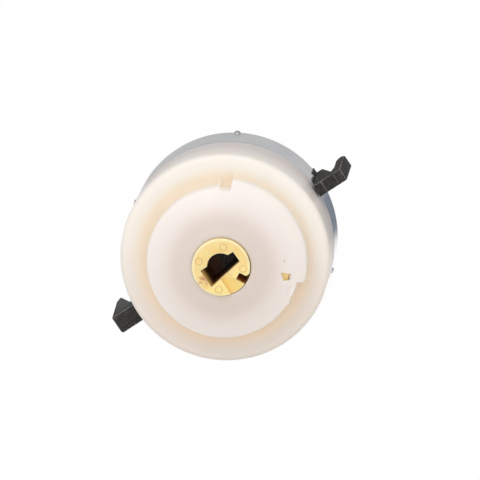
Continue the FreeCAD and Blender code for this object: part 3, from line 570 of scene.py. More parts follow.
def nylon(look):
    """Natural nylon: milky, with faint flow marks, a painted glow in the hollow round the boss, and painted
    light and shade on the shoulder, the dome and the wall.
    """
    kit = Finish("natural_nylon", look.ring_shaded)
    radius = kit.from_axis()
    height = kit.parts()[2]
    shoulder = shoulder_height(look)
    # Painted light and shade: the shoulder lighter towards the picture's top, darker towards its bottom
    kit.lay(look.ring, kit.smooth(kit.toward(PICTURE_UP), -0.95, 0.75))
    # Painted glow of light in the hollow round the boss
    kit.lay(look.hollow_glow_and_flow, kit.fade(radius, 17.6, 15.0), kit.fade(height, 2.6, 0.3, shoulder), 0.8)
    # Painted shade round the bore, fading to painted light at the dome's rim
    dome = kit.mix(kit.fade(radius, 8.0, 12.6), look.shade, look.pale)
    kit.lay(dome, kit.fade(height, 2.8, 3.6, shoulder))
    # Painted shade: the wall darkens towards the band
    kit.lay(look.wall_shaded, kit.smooth(height, shoulder - 0.5 * MM, BAND_HIGH.z + 2 * MM))
    flow = kit.noise(90.0, 3.0)
    kit.lay(look.hollow_glow_and_flow, kit.ranged(flow, 0.35, 0.7, 0.0, 0.1))
    kit.lay(look.speck, kit.fade(kit.from_point(DOME_SPECK, COVER_HIGH.z - DOME_SPECK[2] * MM), 0.3, 0.1))
    flow_bump = kit.bump(flow, 0.15 * MM, 0.3)
    return kit.finished(
        Roughness=kit.ranged(kit.noise(260.0, 3.0), 0.3, 0.7, 0.28, 0.42), IOR=1.52,
        Subsurface_Weight=0.75, Subsurface_Scale=1.8 * MM, Subsurface_Radius=(0.9, 0.8, 0.68),
        Normal=kit.bump(kit.noise(1500.0), 0.02 * MM, 0.35, Normal=flow_bump))


def plated_steel(name, shade, roughness):
    """Plated steel with fine rolling lines, faint blotches and small scratches."""
    kit = Finish(name, shade)
    lines = kit.lines((30.0, 30.0, 2600.0))
    scratch = kit.smooth(kit.lines((700.0, 90.0, 1900.0)), 0.66, 0.72)
    kit.lay(scaled(shade, 0.86), kit.ranged(kit.noise(140.0, 4.0, 0.6), 0.35, 0.7))
    wear_and_lit_face = kit.maths("ADD", lines, kit.times(scratch, 0.5))
    scratch_bump = kit.bump(scratch, 0.004 * MM, 0.4)
    return kit.finished(
        Metallic=1.0, Roughness=kit.ranged(wear_and_lit_face, 0.3, 1.1, roughness * 0.75, roughness * 1.5),
        Normal=kit.bump(lines, 0.006 * MM, 0.5, Normal=scratch_bump))


def yellow_plastic(look):
    """Yellow acetal: satin, with painted highlights on its edges, painted light beside the groove and on the
    flange, painted shade deep down, and a reddish smear on its rim.
    """
    kit = Finish("yellow_plastic", look.shade)
    x, y, z = kit.parts()
    radius = kit.from_axis()
    top = ROTOR_HIGH.z
    kit.lay(look.bright, kit.ranged(kit.noise(420.0, 3.0), 0.3, 0.75, 0.0, 0.3))
    # Painted light on the face beside the groove
    kit.lay(look.wear_and_lit_face, kit.fade(y, -1.4, -2.6), 0.8)
    # Painted shade below the top face: the yellow turns a deeper amber
    low = kit.fade(z, -0.15, -1.5, top)
    kit.lay([part * factor for part, factor in zip(look.shade, (1.0, 0.88, 0.6))], low)
    # Painted highlights: a bright line round the head's rim, and on its edges
    kit.lay(look.bright, kit.fade(radius, 4.9, 5.15), kit.fade(z, -0.5, -0.2, top), 0.6)
    kit.lay(look.bright, kit.edges(0.22 * MM), 0.9)
    # Painted shade: darker lines round the raised ring marks
    for mark in RING_MARKS:
        away = kit.from_point(mark, top)
        kit.lay(look.line, kit.fade(away, 0.5, 0.6), kit.fade(away, 0.8, 0.7), 0.5)

    # The slot's end wall gets painted light, and the painted shade on it starts further down than on the
    # other walls
    end_wall = kit.fade(x, -3.4, -3.52)
    kit.lay(look.end_wall, end_wall, low)
    unlit = kit.times(kit.fade(z, -0.5, -3.6, top), kit.maths("SUBTRACT", 1.0, end_wall))
    deep_shade = kit.maths("ADD", unlit, kit.times(kit.fade(z, -2.0, -6.2, top), end_wall))
    # Painted shade deep in the slot and the pocket: brown, blacker towards the far end
    blacker_end = kit.fade(kit.maths("ADD", x, kit.times(kit.noise(500.0, 3.0), 2 * MM)), -0.9, 0.5)
    dark = kit.mix(blacker_end, look.deep_shade, look.far_end_shade)
    # Painted glints in the blacker end
    grain = kit.smooth(kit.noise(1700.0, 1.0), 0.6, 0.68)
    dark = kit.mix(kit.times(grain, blacker_end), dark, look.glint)
    dark = kit.mix(kit.fade(y, -2.3, -2.1), look.pocket, dark)
    kit.lay(dark, deep_shade, kit.fade(radius, 5.2, 5.0), 0.97)

    smear = kit.smooth(kit.noise(1500.0, 3.0), 0.36, 0.6)
    kit.lay(look.stain, kit.fade(kit.from_point(STAIN, top), 1.5, 0.3), smear, 0.85)
    # Painted light: the flange under the dome painted brighter, and glowing by emission
    lit_flange = kit.fade(radius, 8.5, 9.5)
    kit.lay(look.flange, lit_flange)
    return kit.finished(
        Roughness=kit.ranged(kit.noise(900.0), 0.3, 0.7, 0.34, 0.52), IOR=1.48,
        Subsurface_Weight=0.15, Subsurface_Scale=0.6 * MM, Subsurface_Radius=(1.0, 0.6, 0.25),
        Emission_Color=look.flange, Emission_Strength=kit.times(lit_flange, look.through),
        Normal=kit.bump(kit.noise(2600.0, 3.0), 0.02 * MM, 0.5))


def black_plastic(look):
    """Black filled nylon: fine grain, mottled, with dusty patches and patchy painted highlights on its edges.
    """
    kit = Finish("black_plastic", look.shade)
    patch = kit.noise(330.0, 4.0, 0.65)
    kit.lay(look.sheen_and_mottle, kit.ranged(patch, 0.45, 0.8, 0.0, 0.05))
    kit.lay(look.sheen_and_mottle, kit.ranged(kit.noise(2200.0, 3.0, 0.6), 0.4, 0.7, 0.0, 0.06))
    kit.lay(look.sheen_and_mottle, kit.smooth(kit.noise(4200.0), 0.64, 0.72), 0.15)
    # Patchy painted highlights on the edges
    kit.lay(look.sheen_and_mottle, kit.edges(0.2 * MM), kit.ranged(patch, 0.35, 0.6, 0.2, 0.9))
    grain = kit.add("ShaderNodeTexVoronoi", Vector=kit.place, Scale=2600.0)
    return kit.finished(Roughness=kit.ranged(patch, 0.3, 0.7, 0.78, 0.98), IOR=1.45,
                        Normal=kit.bump(grain, 0.03 * MM, 0.45))


def brown_plastic():
    """Brown phenolic moulding of the contact carrier, with filler flecks."""
    kit = Finish("carrier_plastic", (0.075, 0.038, 0.02))
    fleck = kit.smooth(kit.noise(1900.0, 3.0), 0.55, 0.68)
    kit.lay((0.16, 0.09, 0.05), fleck)
    kit.lay((0.22, 0.14, 0.09), kit.edges(0.2 * MM), 0.5)
    return kit.finished(Roughness=kit.ranged(kit.noise(500.0), 0.3, 0.7, 0.45, 0.65),
                        Normal=kit.bump(fleck, 0.02 * MM, 0.5))


def plain_metal(name, shade, dull, roughness, streak):
    """A drawn or stamped metal with fine lines and duller patches."""
    kit = Finish(name, shade)
    lines = kit.lines(streak)
    patch = kit.noise(380.0, 4.0, 0.6)
    kit.lay(dull, kit.ranged(patch, 0.4, 0.72))
    kit.lay(scaled(shade, 1.25), kit.edges(0.1 * MM), 0.5)
    return kit.finished(
        Metallic=1.0, Normal=kit.bump(lines, 0.005 * MM, 0.5),
        Roughness=kit.ranged(kit.maths("ADD", lines, patch), 0.7, 1.3, roughness * 0.7, roughness * 1.5))


class SWITCH_OT_front_cover(bpy.types.Operator):
    """Build the white front cover with its keyed, domed boss and the window"""

    bl_idname = "switch.front_cover"
    bl_label = "Front cover"

    def execute(self, context):
        sizes = context.scene.switch_cover
        outer = COVER_HIGH.x
        top = COVER_HIGH.z
        shoulder = shoulder_height(sizes)
        dome_centre = top - math.sqrt(sizes.dome_radius ** 2 - sizes.bore_radius ** 2)
        band_front = BAND_HIGH.z + 0.02 * MM
        lead = 0.12 * MM
        skirt = outer - 0.55 * MM
        skirt_inner = outer - 2.2 * MM
        cavity = 12.45 * MM
        cavity_top = shoulder - 2.4 * MM
        collar = 7.4 * MM
        collar_low = top - 5.2 * MM

        def dome(radius, sink=0.0):
            return dome_centre + math.sqrt((sizes.dome_radius - sink) ** 2 - radius ** 2)

        def lean(place):
            return math.degrees(math.atan2(place[1] - dome_centre, place[0]))

        def profile(turn):
            boss = boss_radius_at(turn, sizes.boss_radius)
            edge = sizes.edge_round
            foot = sizes.foot_round
            rim = sizes.rim_round
            lip = sizes.bore_round
            points = [(skirt, COVER_LOW.z), (skirt, band_front), (outer - lead, band_front)]
            points += [(outer, band_front + lead)] + span((outer, band_front), (outer, shoulder - edge), 6)
            points += arc((outer - edge, shoulder - edge), edge, 0, 90, 10)
            points += span((outer - edge, shoulder), (boss + foot, shoulder), 5)
            points += arc((boss + foot, shoulder + foot), foot, 270, 180, 10)
            rim_centre = (boss - rim, dome(boss - rim, rim))
            points += span((boss, shoulder + foot), (boss, rim_centre[1]), 4)
            points += arc(rim_centre, rim, 0, lean(rim_centre), 8)
            lip_centre = (sizes.bore_radius + lip, dome(sizes.bore_radius + lip, lip))
            bore_edge = arc(lip_centre, lip, lean(lip_centre), 180, 6)
            points += [(radius, dome(radius)) for radius, _ in span(points[-1], bore_edge[0], 16)]
            points += bore_edge
            points += [(sizes.bore_radius, collar_low), (collar, collar_low)]
            points += [(radius, dome(radius, sizes.wall)) for radius in (collar, 9.2 * MM, 11.0 * MM, cavity)]
            return points + [(cavity, cavity_top), (skirt_inner, cavity_top), (skirt_inner, COVER_LOW.z)]

        steps = [step for start, end, _, start_width, end_width in BOSS_PLAN
                 for step in ((start, start_width), (end, end_width))]
        made = piece("front_cover_moulding", turned(360, profile, steps), nylon(sizes))
        middle = Vector([sum(corner[axis] for corner in WINDOW) / len(WINDOW) for axis in (0, 1)])
        window = []
        for grow, rise in WINDOW_FLARE:
            loop = []
            for corner in WINDOW:
                place = Vector(corner) + (Vector(corner) - middle).normalized() * grow
                level = shoulder + WINDOW_LEDGE * MM if rise is None else dome(place.length * MM) + rise * MM
                loop.append((place.x * MM, place.y * MM, level))
            window.append(loop)
        notch = []
        for radius, turns, level in (
            (NOTCH_INNER * MM, NOTCH_TURNS, dome(NOTCH_INNER * MM) - NOTCH_DEPTH * MM),
            (NOTCH_OUTER * MM, NOTCH_TURNS[::-1], shoulder + NOTCH_END * MM),
        ):
            notch += [(*polar(radius, turn), level) for turn in turns]
        carve(made, window=window, notch=[notch, [(x, y, top) for x, y, _ in notch]])
        smooth_faces(made.data)
        dress(made, "housing", "natural_nylon", "front_cover")
        return {"FINISHED"}


class SWITCH_OT_steel_band(bpy.types.Operator):
    """Build the rolled steel band and its four pressed lugs"""

    bl_idname = "switch.steel_band"
    bl_label = "Steel band"

    def execute(self, context):
        sizes = context.scene.switch_band
        outer, low, high = COVER_HIGH.x, BAND_LOW.z, BAND_HIGH.z
        bend = sizes.bend
        thick = sizes.thickness
        inner = outer - thick
        tip = thick * 0.4

        def profile(turn):
            points = arc((outer - tip, high - tip), tip, 0, 90, 3)
            points += [(inner, high)] + span((inner, high), (inner, low + bend), 3)
            points += arc((outer - bend, low + bend), bend - thick, 0, -90, 6)
            points += [(sizes.lip_radius, low + thick), (sizes.lip_radius, low)]
            points += arc((outer - bend, low + bend), bend, -90, 0, 10)
            return points + span((outer, low + bend), (outer, high - tip), 8)

        shade = tuple(sizes.shade)
        band = piece("steel_band", turned(360, profile), plated_steel("band_steel", shade, sizes.polish))
        gates = {}
        for name, left, right, near, far in CHEEKS:
            corners = rectangle(left - GATE_REACH, right + GATE_REACH, near - CHEEK_GAP, far + CHEEK_GAP)
            gates[name + "_gate"] = layers(corners, low - 1 * MM, (CHEEK_HIGH + CHEEK_GAP) * MM)
        carve(band, **gates)
        smooth_faces(band.data)
        dress(band, "housing", "band_steel", "shell_band")

        places = [(*polar(outer, turn), low + 1.3 * MM, turn) for turn in LUG_ANGLES]
        # The lugs take a darker copy of the band's steel
        darker_lug_steel = plated_steel("lug_steel", scaled(shade, sizes.lug_shade), sizes.polish)
        lugs = scatter("band_lugs", places, pressed_lug, darker_lug_steel, {
            "Width": sizes.lug_width, "Rise": sizes.lug_rise, "Height": sizes.lug_width * 1.3})
        dress(lugs, "housing", "band_steel")
        return {"FINISHED"}


def pressed_lug(kit, given):
    """A flattened ball, half sunk in the band."""
    ball = kit.add("GeometryNodeMeshUVSphere", Segments=32, Rings=20, Radius=1.0)
    size = kit.add("ShaderNodeCombineXYZ", X=given["Rise"], Y=given["Width"], Z=given["Height"])
    return kit.add("GeometryNodeTransform", Geometry=ball, Scale=size)


def ring_mark(kit, given):
    """A raised ring as an injection mould leaves it."""
    line = kit.add("GeometryNodeCurvePrimitiveCircle", Resolution=40, Radius=given["Radius"])
    wire = kit.add("GeometryNodeCurvePrimitiveCircle", Resolution=10, Radius=given["Wire"])
    return kit.add("GeometryNodeCurveToMesh", Curve=line, Profile_Curve=wire)


def blade_collar(kit, given):
    """A low collar round a blade's foot, with round corners."""
    line = kit.add("GeometryNodeCurvePrimitiveQuadrilateral", Width=given["Width"], Height=given["Depth"])
    corner = kit.add("GeometryNodeFilletCurve", {"mode": "POLY"}, Curve=line, Count=5, Radius=given["Corner"])
    fill = kit.add("GeometryNodeFillCurve", {"mode": "NGONS"}, Curve=corner)
    down = kit.add("ShaderNodeCombineXYZ", Z=-1.0)
    lift = kit.add("GeometryNodeExtrudeMesh", Mesh=fill, Offset=down, Offset_Scale=given["Height"],
                   Individual=False)
    both = kit.add("GeometryNodeJoinGeometry", Geometry=lift)
    kit.feed(both.inputs["Geometry"], kit.add("GeometryNodeFlipFaces", Mesh=fill))
    return kit.add("GeometryNodeMergeByDistance", Geometry=both, Distance=1e-6)


def repeat_tree(name, shape, material, inputs):
    """A tree that puts one shape on every point, turned by the point's own angle."""
    tree = bpy.data.node_groups.new(name, "GeometryNodeTree")
    for side in ("INPUT", "OUTPUT"):
        tree.interface.new_socket("Geometry", in_out=side, socket_type="NodeSocketGeometry")
    for key in inputs:
        tree.interface.new_socket(key, in_out="INPUT", socket_type="NodeSocketFloat")
    kit = NodeKit(tree)
    given = kit.add("NodeGroupInput").outputs
    turn = kit.add("GeometryNodeInputNamedAttribute", {"data_type": "FLOAT"}, Name="turn")
    euler = kit.add("ShaderNodeCombineXYZ", Z=turn.outputs["Attribute"])
    put = kit.add("GeometryNodeInstanceOnPoints", Points=given["Geometry"], Instance=shape(kit, given),
                  Rotation=euler)
    real = kit.add("GeometryNodeRealizeInstances", Geometry=put)
    paint = kit.add("GeometryNodeSetMaterial", Geometry=real, Material=material)
    kit.add("NodeGroupOutput", Geometry=paint)
    return tree


def scatter(name, places, shape, material, inputs):
    """A shape on each place, which is a point and an angle, all in one plain mesh."""
    mesh = bpy.data.meshes.new(name)
    mesh.from_pydata([place[:3] for place in places], [], [])
    turns = mesh.attributes.new("turn", "FLOAT", "POINT")
    for number, place in enumerate(places):
        turns.data[number].value = math.radians(place[3])
    made = add_object(name, mesh)
    modifier = made.modifiers.new("repeat", "NODES")
    modifier.node_group = repeat_tree(name, shape, material, inputs)
    for item in modifier.node_group.interface.items_tree:
        if item.in_out == "INPUT" and item.name in inputs:
            modifier[item.identifier] = inputs[item.name]
    settle(made)
    bm = bmesh.new()
    bm.from_mesh(made.data)
    bmesh.ops.recalc_face_normals(bm, faces=bm.faces)
    bm.to_mesh(made.data)
    bm.free()
    smooth_faces(made.data, 40.0)
    return made


def bulged(corners, side, radius, steps=14):
    """The corners of a plan with one side turned into an arc that swells outwards."""
    start = Vector(corners[side])
    end = Vector(corners[(side + 1) % len(corners)])
    chord = end - start
    normal = Vector((-chord.y, chord.x)).normalized()
    centre = (start + end) / 2 + normal * math.sqrt(radius ** 2 - (chord.length / 2) ** 2)
    first, last = (math.degrees(math.atan2(*(point - centre).yx)) for point in (start, end))
    if last < first:
        last += 360
    return [*corners[:side + 1], *arc(centre, radius, first, last, steps)[1:-1], *corners[side + 1:]]


def softened(corners, radius, steps=3):
    """A plan with its corners rounded."""
    points = []
    for number, corner in enumerate(corners):
        here = Vector(corner)
        before = Vector(corners[number - 1]) - here
        after = Vector(corners[(number + 1) % len(corners)]) - here
        start = here + before.normalized() * radius
        end = here + after.normalized() * radius
        for step in range(steps + 1):
            part = step / steps
            points.append(start * (1 - part) ** 2 + here * 2 * part * (1 - part) + end * part ** 2)
    return points


class SWITCH_OT_rotor(bpy.types.Operator):
    """Build the yellow rotor with its slot, groove, pocket, ring marks and toothed flange"""

    bl_idname = "switch.rotor"
    bl_label = "Rotor"

    def execute(self, context):
        sizes = context.scene.switch_rotor
        top = ROTOR_HIGH.z - sizes.mark_wire
        over = top + 1 * MM
        head = sizes.radius
        bevel = sizes.rim_bevel
        step_radius = 7.5 * MM
        step_top = COVER_HIGH.z - 5.8 * MM
        neck = 6.2 * MM
        flange = ROTOR_HIGH.x
        flange_top = step_top - 0.5 * MM
        flange_low = flange_top - 1.9 * MM
        flange_bore = neck - 0.4 * MM
        neck_low = flange_low - 5.8 * MM
        axis_end = PIN_HOLE * MM

        def shaft(turn):
            points = [(axis_end, neck_low), (neck, neck_low), (neck, flange_low), (neck, flange_top)]
            points += [(step_radius, flange_top), (step_radius, step_top), (head, step_top)]
            points += span((head, step_top), (head, top - bevel), 6)
            points += [(head, top - bevel), (head - bevel * 0.12, top - bevel * 0.7)]
            return points + [(head - bevel * 0.7, top - bevel * 0.12), (head - bevel, top), (axis_end, top)]

        def toothed(turn):
            tooth = abs((turn / TOOTH_TURN) % 1.0 - 0.5) * 2
            crest = flange_top + (2.3 + 0.3 * tooth) * MM
            edge = 0.2 * MM
            crown = 10.4 * MM
            points = [(flange_bore, flange_low), (flange - edge, flange_low), (flange, flange_low + edge)]
            points += [(flange, crest - edge), (flange - edge, crest), (crown, crest), (crown, flange_top)]
            return points + [(flange_bore, flange_top)]

        material = yellow_plastic(sizes)
        bm = turned(180, shaft)
        bmesh.ops.translate(bm, verts=bm.verts, vec=Vector(PLAY_WAY) * sizes.play)
        made = piece("rotor_head", bm, material)
        slot = bulged(SLOT, SLOT_BULGE, SLOT_BULGE_RADIUS)
        floors = [top - sizes.groove_depth * part for part in GROOVE_SHARES]
        groove = [(x * MM, y * MM, floor) for (x, y), floor in zip(GROOVE, floors)]
        carve(made, slot=layers(slot, top - sizes.slot_depth, over), groove=[groove, *layers(GROOVE, over)],
              pocket=layers(POCKET, top - sizes.pocket_depth, over))
        rounding = made.modifiers.new("edge_break", "BEVEL")
        rounding.width = sizes.edge_break
        rounding.segments = 2
        rounding.limit_method = "ANGLE"
        rounding.angle_limit = math.radians(50)
        rounding.use_clamp_overlap = True
        even = made.modifiers.new("even_shading", "WEIGHTED_NORMAL")
        even.keep_sharp = True
        settle(made)

        ring = piece("rotor_flange", turned(480, toothed), material)
        square = softened(rectangle(-DRIVE_HALF, DRIVE_HALF, -DRIVE_HALF, DRIVE_HALF), DRIVE_CORNER)
        drive = piece("rotor_drive", stacked(layers(square, ROTOR_LOW.z, neck_low + 0.2 * MM)), material)
        places = [(x * MM, y * MM, top, 0.0) for x, y in RING_MARKS]
        marks = scatter("rotor_marks", places, ring_mark, material,
                        {"Radius": sizes.mark_radius, "Wire": sizes.mark_wire})
        dress(made, "turning_group", "yellow_plastic", "rotor")
        for part in (ring, drive, marks):
            dress(part, "turning_group", "yellow_plastic")
        return {"FINISHED"}


def bevelled_prism(name, corners, near, far, axis, edge_break, material, rounds=None, round_by=0.0):
    """A plate cut to an outline, its edges broken. The plate's thickness runs along axis, X, Y or Z.

    The edges whose corners all pass the test rounds have a larger rounding.
    """
    bm = stacked(layers(corners, near, far))
    rounded = []
    if rounds:
        rounded = [edge for edge in bm.edges if all(rounds(*(corner.co / MM)) for corner in edge.verts)]
        made = bmesh.ops.bevel(bm, geom=rounded, offset=round_by, segments=5, profile=0.5, affect="EDGES",
                               clamp_overlap=True)
        rounded = {edge for face in made["faces"] for edge in face.edges}
    others = [edge for edge in bm.edges if edge not in rounded]
    bmesh.ops.bevel(bm, geom=others, offset=edge_break, segments=2, profile=0.6, affect="EDGES",
                    clamp_overlap=True)
    order = {"X": (2, 0, 1), "Y": (0, 2, 1), "Z": (0, 1, 2)}[axis]
    for corner in bm.verts:
        corner.co = [corner.co[number] for number in order]
    return piece(name, bm, material, 28.0)


def base_disc(material):
    """The disc that the band holds, with its flange, its spigot and the carrier's bearing."""
    low = DISC_LOW * MM
    high = DISC_HIGH * MM
    radius = 17.5 * MM
    edge = 0.3 * MM
    bearing = 2.6 * MM
    bearing_low = low + 4.2 * MM
    spigot = 17.25 * MM
    flange = COVER_HIGH.x - 0.55 * MM
    flange_low = BAND_LOW.z + 0.52 * MM
    flange_high = flange_low + 2.0 * MM
    axis_end = PIN_HOLE * MM
    points = [(bearing, bearing_low), (bearing, high), (spigot, high), (spigot, flange_high)]
    points += [(flange, flange_high), (flange, flange_low), (radius, flange_low)]
    points += arc((radius - edge, low + edge), edge, 0, -90, 4)
    points += [(axis_end, low), (axis_end, bearing_low)]
    return piece("base_disc", turned(240, lambda turn: points), material)


def release_arms(sizes, material):
    """The two folded release arms, their plans drawn from the side."""
    front = BASE_HIGH.z / MM
    step = sizes.step / MM
    wide_middle = -0.74 * MM
    narrow = [
        (16.0, CHEEK_LOW), (20.7, CHEEK_LOW), (23.5, front - 4.1), (24.0, front - 6.8),
        (24.0, front - 13.5), (24.7, front - 15.5), (25.4, front - 15.5), (25.75, front - 14.6),
        (25.75, front), (24.15, front), (24.05, front - step), (21.55, front - step), (21.45, front),
        (19.8, front), (19.8, ARM_ROOT_HIGH), (16.0, ARM_ROOT_HIGH),
    ]
    wide = [
        (-16.0, ARM_ROOT_HIGH), (-19.8, ARM_ROOT_HIGH), (-19.8, front - step), (-20.9, front - step),
        (-21.0, front), (-25.75, front), (-26.65, front - 17.6), (-26.25, front - 20.0),
        (-25.9, front - 20.0), (-22.45, front - 6.7), (-20.7, CHEEK_LOW), (-16.0, CHEEK_LOW),
    ]

    def narrow_tip(x, height, depth):
        return height < front - 14.0 and x > 24.5 and depth > 0

    def wide_tip(x, height, depth):
        return x < -25.5 and depth < wide_middle / MM

    return [
        bevelled_prism(name, plan, middle - width / 2, middle + width / 2, "Y", sizes.edge_break,
                       material, tip, sizes.tip_round)
        for name, plan, middle, width, tip in (
            ("narrow_arm", narrow, 0.0, sizes.narrow_width, narrow_tip),
            ("wide_arm", wide, wide_middle, sizes.wide_width, wide_tip),
        )
    ]


def connector_shroud(material):
    """The connector shroud's wall and floor, stacked from one plan that is moved inwards."""
    wall = SHROUD_WALL * MM
    edge = 0.3 * MM
    half_x = (SHROUD_HALF_X - SHROUD_CORNER) * MM
    half_y = (SHROUD_HALF_Y - SHROUD_CORNER) * MM
    rim = [(0.0, (DISC_LOW + 0.2) * MM), (0.0, edge)]
    rim += arc((edge, edge), edge, 210, 270, 2)
    rim += arc((wall - edge, edge), edge, -90, 0, 3)
    rim += [(wall, (SOCKET_FLOOR - 0.4) * MM), (wall + 0.4 * MM, SOCKET_FLOOR * MM)]
    loops = []
    for sink, level in rim:
        plan = []
        for x, y, first in ((half_x, half_y, 0), (-half_x, half_y, 90), (-half_x, -half_y, 180),
                            (half_x, -half_y, 270)):
            plan += arc((x, y), SHROUD_CORNER * MM - sink, first, first + 90.0, 8)
        loops.append([(x, y, level) for x, y in plan])
    return piece("connector_shroud", stacked(loops), material)


class SWITCH_OT_rear_base(bpy.types.Operator):
    """Build the black rear base: disc, connector shroud and the two release arms"""

    bl_idname = "switch.rear_base"
    bl_label = "Rear base"

    def execute(self, context):
        sizes = context.scene.switch_base
        material = black_plastic(sizes)
        dress(base_disc(material), "housing", "black_plastic", "rear_base")
        parts = release_arms(sizes, material)
        for name, *sides in CHEEKS:
            parts.append(bevelled_prism(name, rectangle(*sides), CHEEK_LOW * MM, CHEEK_HIGH * MM, "Z",
                                        CHEEK_EDGE * MM, material))
        parts.append(connector_shroud(material))
        for name, plan, near, far, axis in SHROUD_BLOCKS:
            parts.append(bevelled_prism(name, plan, near * MM, far * MM, axis, sizes.edge_break, material))
        places = [(x * MM, y * MM, (SOCKET_FLOOR + 0.02) * MM, 0.0) for x, y in BLADES]
        parts.append(scatter("blade_collars", places, blade_collar, material, BLADE_COLLAR))
        for made in parts:
            dress(made, "housing", "black_plastic")
        return {"FINISHED"}


class SWITCH_OT_inner_parts(bpy.types.Operator):
    """Give the carrier, contacts, springs and terminals their finishes"""

    bl_idname = "switch.inner_parts"
    bl_label = "Inner parts"

    def execute(self, context):
        finishes = {name: plain_metal(name, *look) for name, look in INNER_METALS.items()}
        finishes["carrier_plastic"] = brown_plastic()
        for row in frame["record"]["subparts"]:
            if row["material_slot"] not in finishes:
                continue
            material = finishes[row["material_slot"]]
            node = frame["nodes"][row["node"]]
            if not node.material_slots:
                node.data.materials.append(material)
            for slot in node.material_slots:
                slot.material = material
        return {"FINISHED"}


def pale_floor(sizes):
    """A wide pale floor that looks white to the camera and still shows a faint shadow.

    The glossy pieces mirror it as a bright floor, dimmer on one side and with one bluish shadow.
    """
    bm = bmesh.new()
    bmesh.ops.create_circle(bm, cap_ends=True, segments=64, radius=6.0)
    made = mesh_object("floor", bm)
    material = bpy.data.materials.new("floor")
    material.use_nodes = True
    material.node_tree.nodes.clear()
    kit = NodeKit(material.node_tree)
    way = kit.vector("NORMALIZE", kit.add("ShaderNodeTexCoord").outputs["Object"])

    def sector(toward, wide, narrow, outside, inside):
        side = kit.vector("DOT_PRODUCT", way, (*polar(1.0, toward), 0.0))
        return kit.smooth(side, polar(1.0, wide)[0], polar(1.0, narrow)[0], outside, inside)

    ray = kit.add("ShaderNodeLightPath").outputs
    seen = kit.maths("MAXIMUM", ray["Is Camera Ray"], ray["Is Transmission Ray"])
    matte = kit.add("ShaderNodeBsdfDiffuse", Color=sizes.floor)
    glow = kit.add("ShaderNodeEmission", Color=WHITE, Strength=1.04)
    plain = kit.add("ShaderNodeMixShader", None, kit.times(seen, sizes.floor_glow), matte, glow)
    tint = kit.mix(sector(*MIRROR_SHADOW, 0.0, 1.0), WHITE, sizes.shadow)
    mirror = kit.add("ShaderNodeEmission", Color=tint,
                     Strength=sector(*MIRROR_SHADE, sizes.mirrored, sizes.shaded))
    kit.add("ShaderNodeOutputMaterial", None,
            kit.add("ShaderNodeMixShader", None, ray["Is Glossy Ray"], plain, mirror))
    made.data.materials.append(material)


def soft_sky(scene, sizes, back, up):
    """Soft white light from all round, dimmer near the horizon and warmer from below the picture."""
    world = bpy.data.worlds.new("sky")
    scene.world = world
    world.use_nodes = True
    world.node_tree.nodes.clear()
    kit = NodeKit(world.node_tree)
    way = kit.add("ShaderNodeTexCoord").outputs["Generated"]
    fade = kit.add("ShaderNodeValToRGB", None, kit.vector("DOT_PRODUCT", way, back))
    stops = fade.color_ramp.elements
    for number, level in ((0, 0.4), (1, 0.8)):
        stops[number].color = (level, level, level, 1.0)
    for place, level in ((0.3, 0.8), (0.65, 1.0), (0.9, 0.95)):
        stops.new(place).color = (level, level, level, 1.0)
    lift = kit.ranged(kit.vector("DOT_PRODUCT", way, up), -1.0, 1.0)
    tint = kit.mix(1.0, fade, kit.mix(lift, sizes.sky_bottom, sizes.sky_top), "MULTIPLY")
    light = kit.add("ShaderNodeBackground", Color=tint, Strength=sizes.sky)
    white = kit.add("ShaderNodeBackground", Color=WHITE, Strength=1.0)
    seen = kit.add("ShaderNodeLightPath").outputs["Is Camera Ray"]
    kit.add("ShaderNodeOutputWorld", None, kit.add("ShaderNodeMixShader", None, seen, light, white))


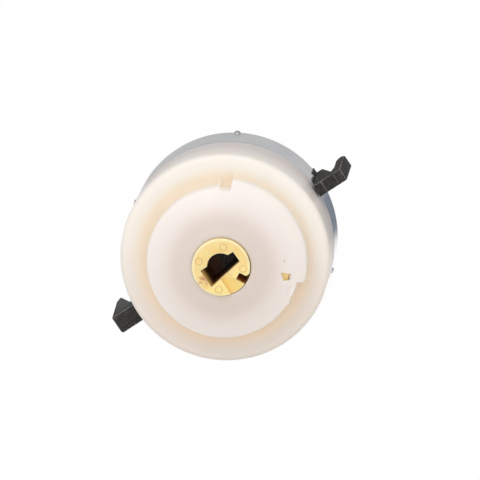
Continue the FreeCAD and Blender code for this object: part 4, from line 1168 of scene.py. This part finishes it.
class SWITCH_OT_stage(bpy.types.Operator):
    """Set the camera, the pale floor and the soft lights"""

    bl_idname = "switch.stage"
    bl_label = "Stage"

    def execute(self, context):
        scene = context.scene
        sizes = scene.switch_stage
        shoulder = Vector((0, 0, shoulder_height(scene.switch_cover)))
        back = Vector((*polar(math.sin(sizes.tilt), math.degrees(sizes.turn)), math.cos(sizes.tilt)))
        up = Vector((*polar(1.0, math.degrees(sizes.roll)), 0.0))
        up = (up - back * up.dot(back)).normalized()
        right = up.cross(back)

        camera = bpy.data.cameras.new("camera")
        camera.sensor_width = 36.0
        camera.lens = sizes.shown_radius / COVER_HIGH.x * sizes.distance * camera.sensor_width / PICTURE
        camera.clip_start = 0.01
        camera.clip_end = 20.0
        eye = add_object("camera", camera)
        place = shoulder + back * sizes.distance + right * sizes.aim_right + up * sizes.aim_up
        eye.matrix_world = Matrix.Translation(place) @ Matrix((right, up, back)).transposed().to_4x4()
        scene.camera = eye

        pale_floor(sizes)
        soft_sky(scene, sizes, back, (up - right * 0.6).normalized())
        lamp = bpy.data.lights.new("key", "AREA")
        lamp.shape = "DISK"
        lamp.size = 0.7
        lamp.energy = sizes.key
        holder = add_object("key", lamp)
        holder.location = shoulder + back * 0.75 - right * 0.45 + up * 0.75
        holder.rotation_euler = (holder.location - shoulder).to_track_quat("Z", "Y").to_euler()
        scene.view_settings.view_transform = "Standard"
        return {"FINISHED"}


class SWITCH_PT_parts(bpy.types.Panel):
    """Buttons that build the switch piece by piece"""

    bl_idname = "SWITCH_PT_parts"
    bl_label = "Ignition switch"
    bl_space_type = "VIEW_3D"
    bl_region_type = "UI"
    bl_category = "Switch"

    def draw(self, context):
        for operator in OPERATORS:
            self.layout.operator(operator.bl_idname)


SETTINGS = {
    "switch_cover": SwitchCoverSettings,
    "switch_band": SwitchBandSettings,
    "switch_rotor": SwitchRotorSettings,
    "switch_base": SwitchBaseSettings,
    "switch_stage": SwitchStageSettings,
}
OPERATORS = (
    SWITCH_OT_front_cover,
    SWITCH_OT_steel_band,
    SWITCH_OT_rotor,
    SWITCH_OT_rear_base,
    SWITCH_OT_inner_parts,
    SWITCH_OT_stage,
)
CLASSES = (*SETTINGS.values(), *OPERATORS, SWITCH_PT_parts)


def register():
    for group in CLASSES:
        bpy.utils.register_class(group)
    for name, group in SETTINGS.items():
        setattr(bpy.types.Scene, name, bpy.props.PointerProperty(type=group))


def unregister():
    for name in SETTINGS:
        delattr(bpy.types.Scene, name)
    for group in reversed(CLASSES):
        bpy.utils.unregister_class(group)


def main():
    register()
    bpy.ops.switch.front_cover()
    bpy.ops.switch.steel_band()
    bpy.ops.switch.rotor()
    bpy.ops.switch.rear_base()
    bpy.ops.switch.inner_parts()
    bpy.ops.switch.stage()


if __name__ == "__main__":
    main()
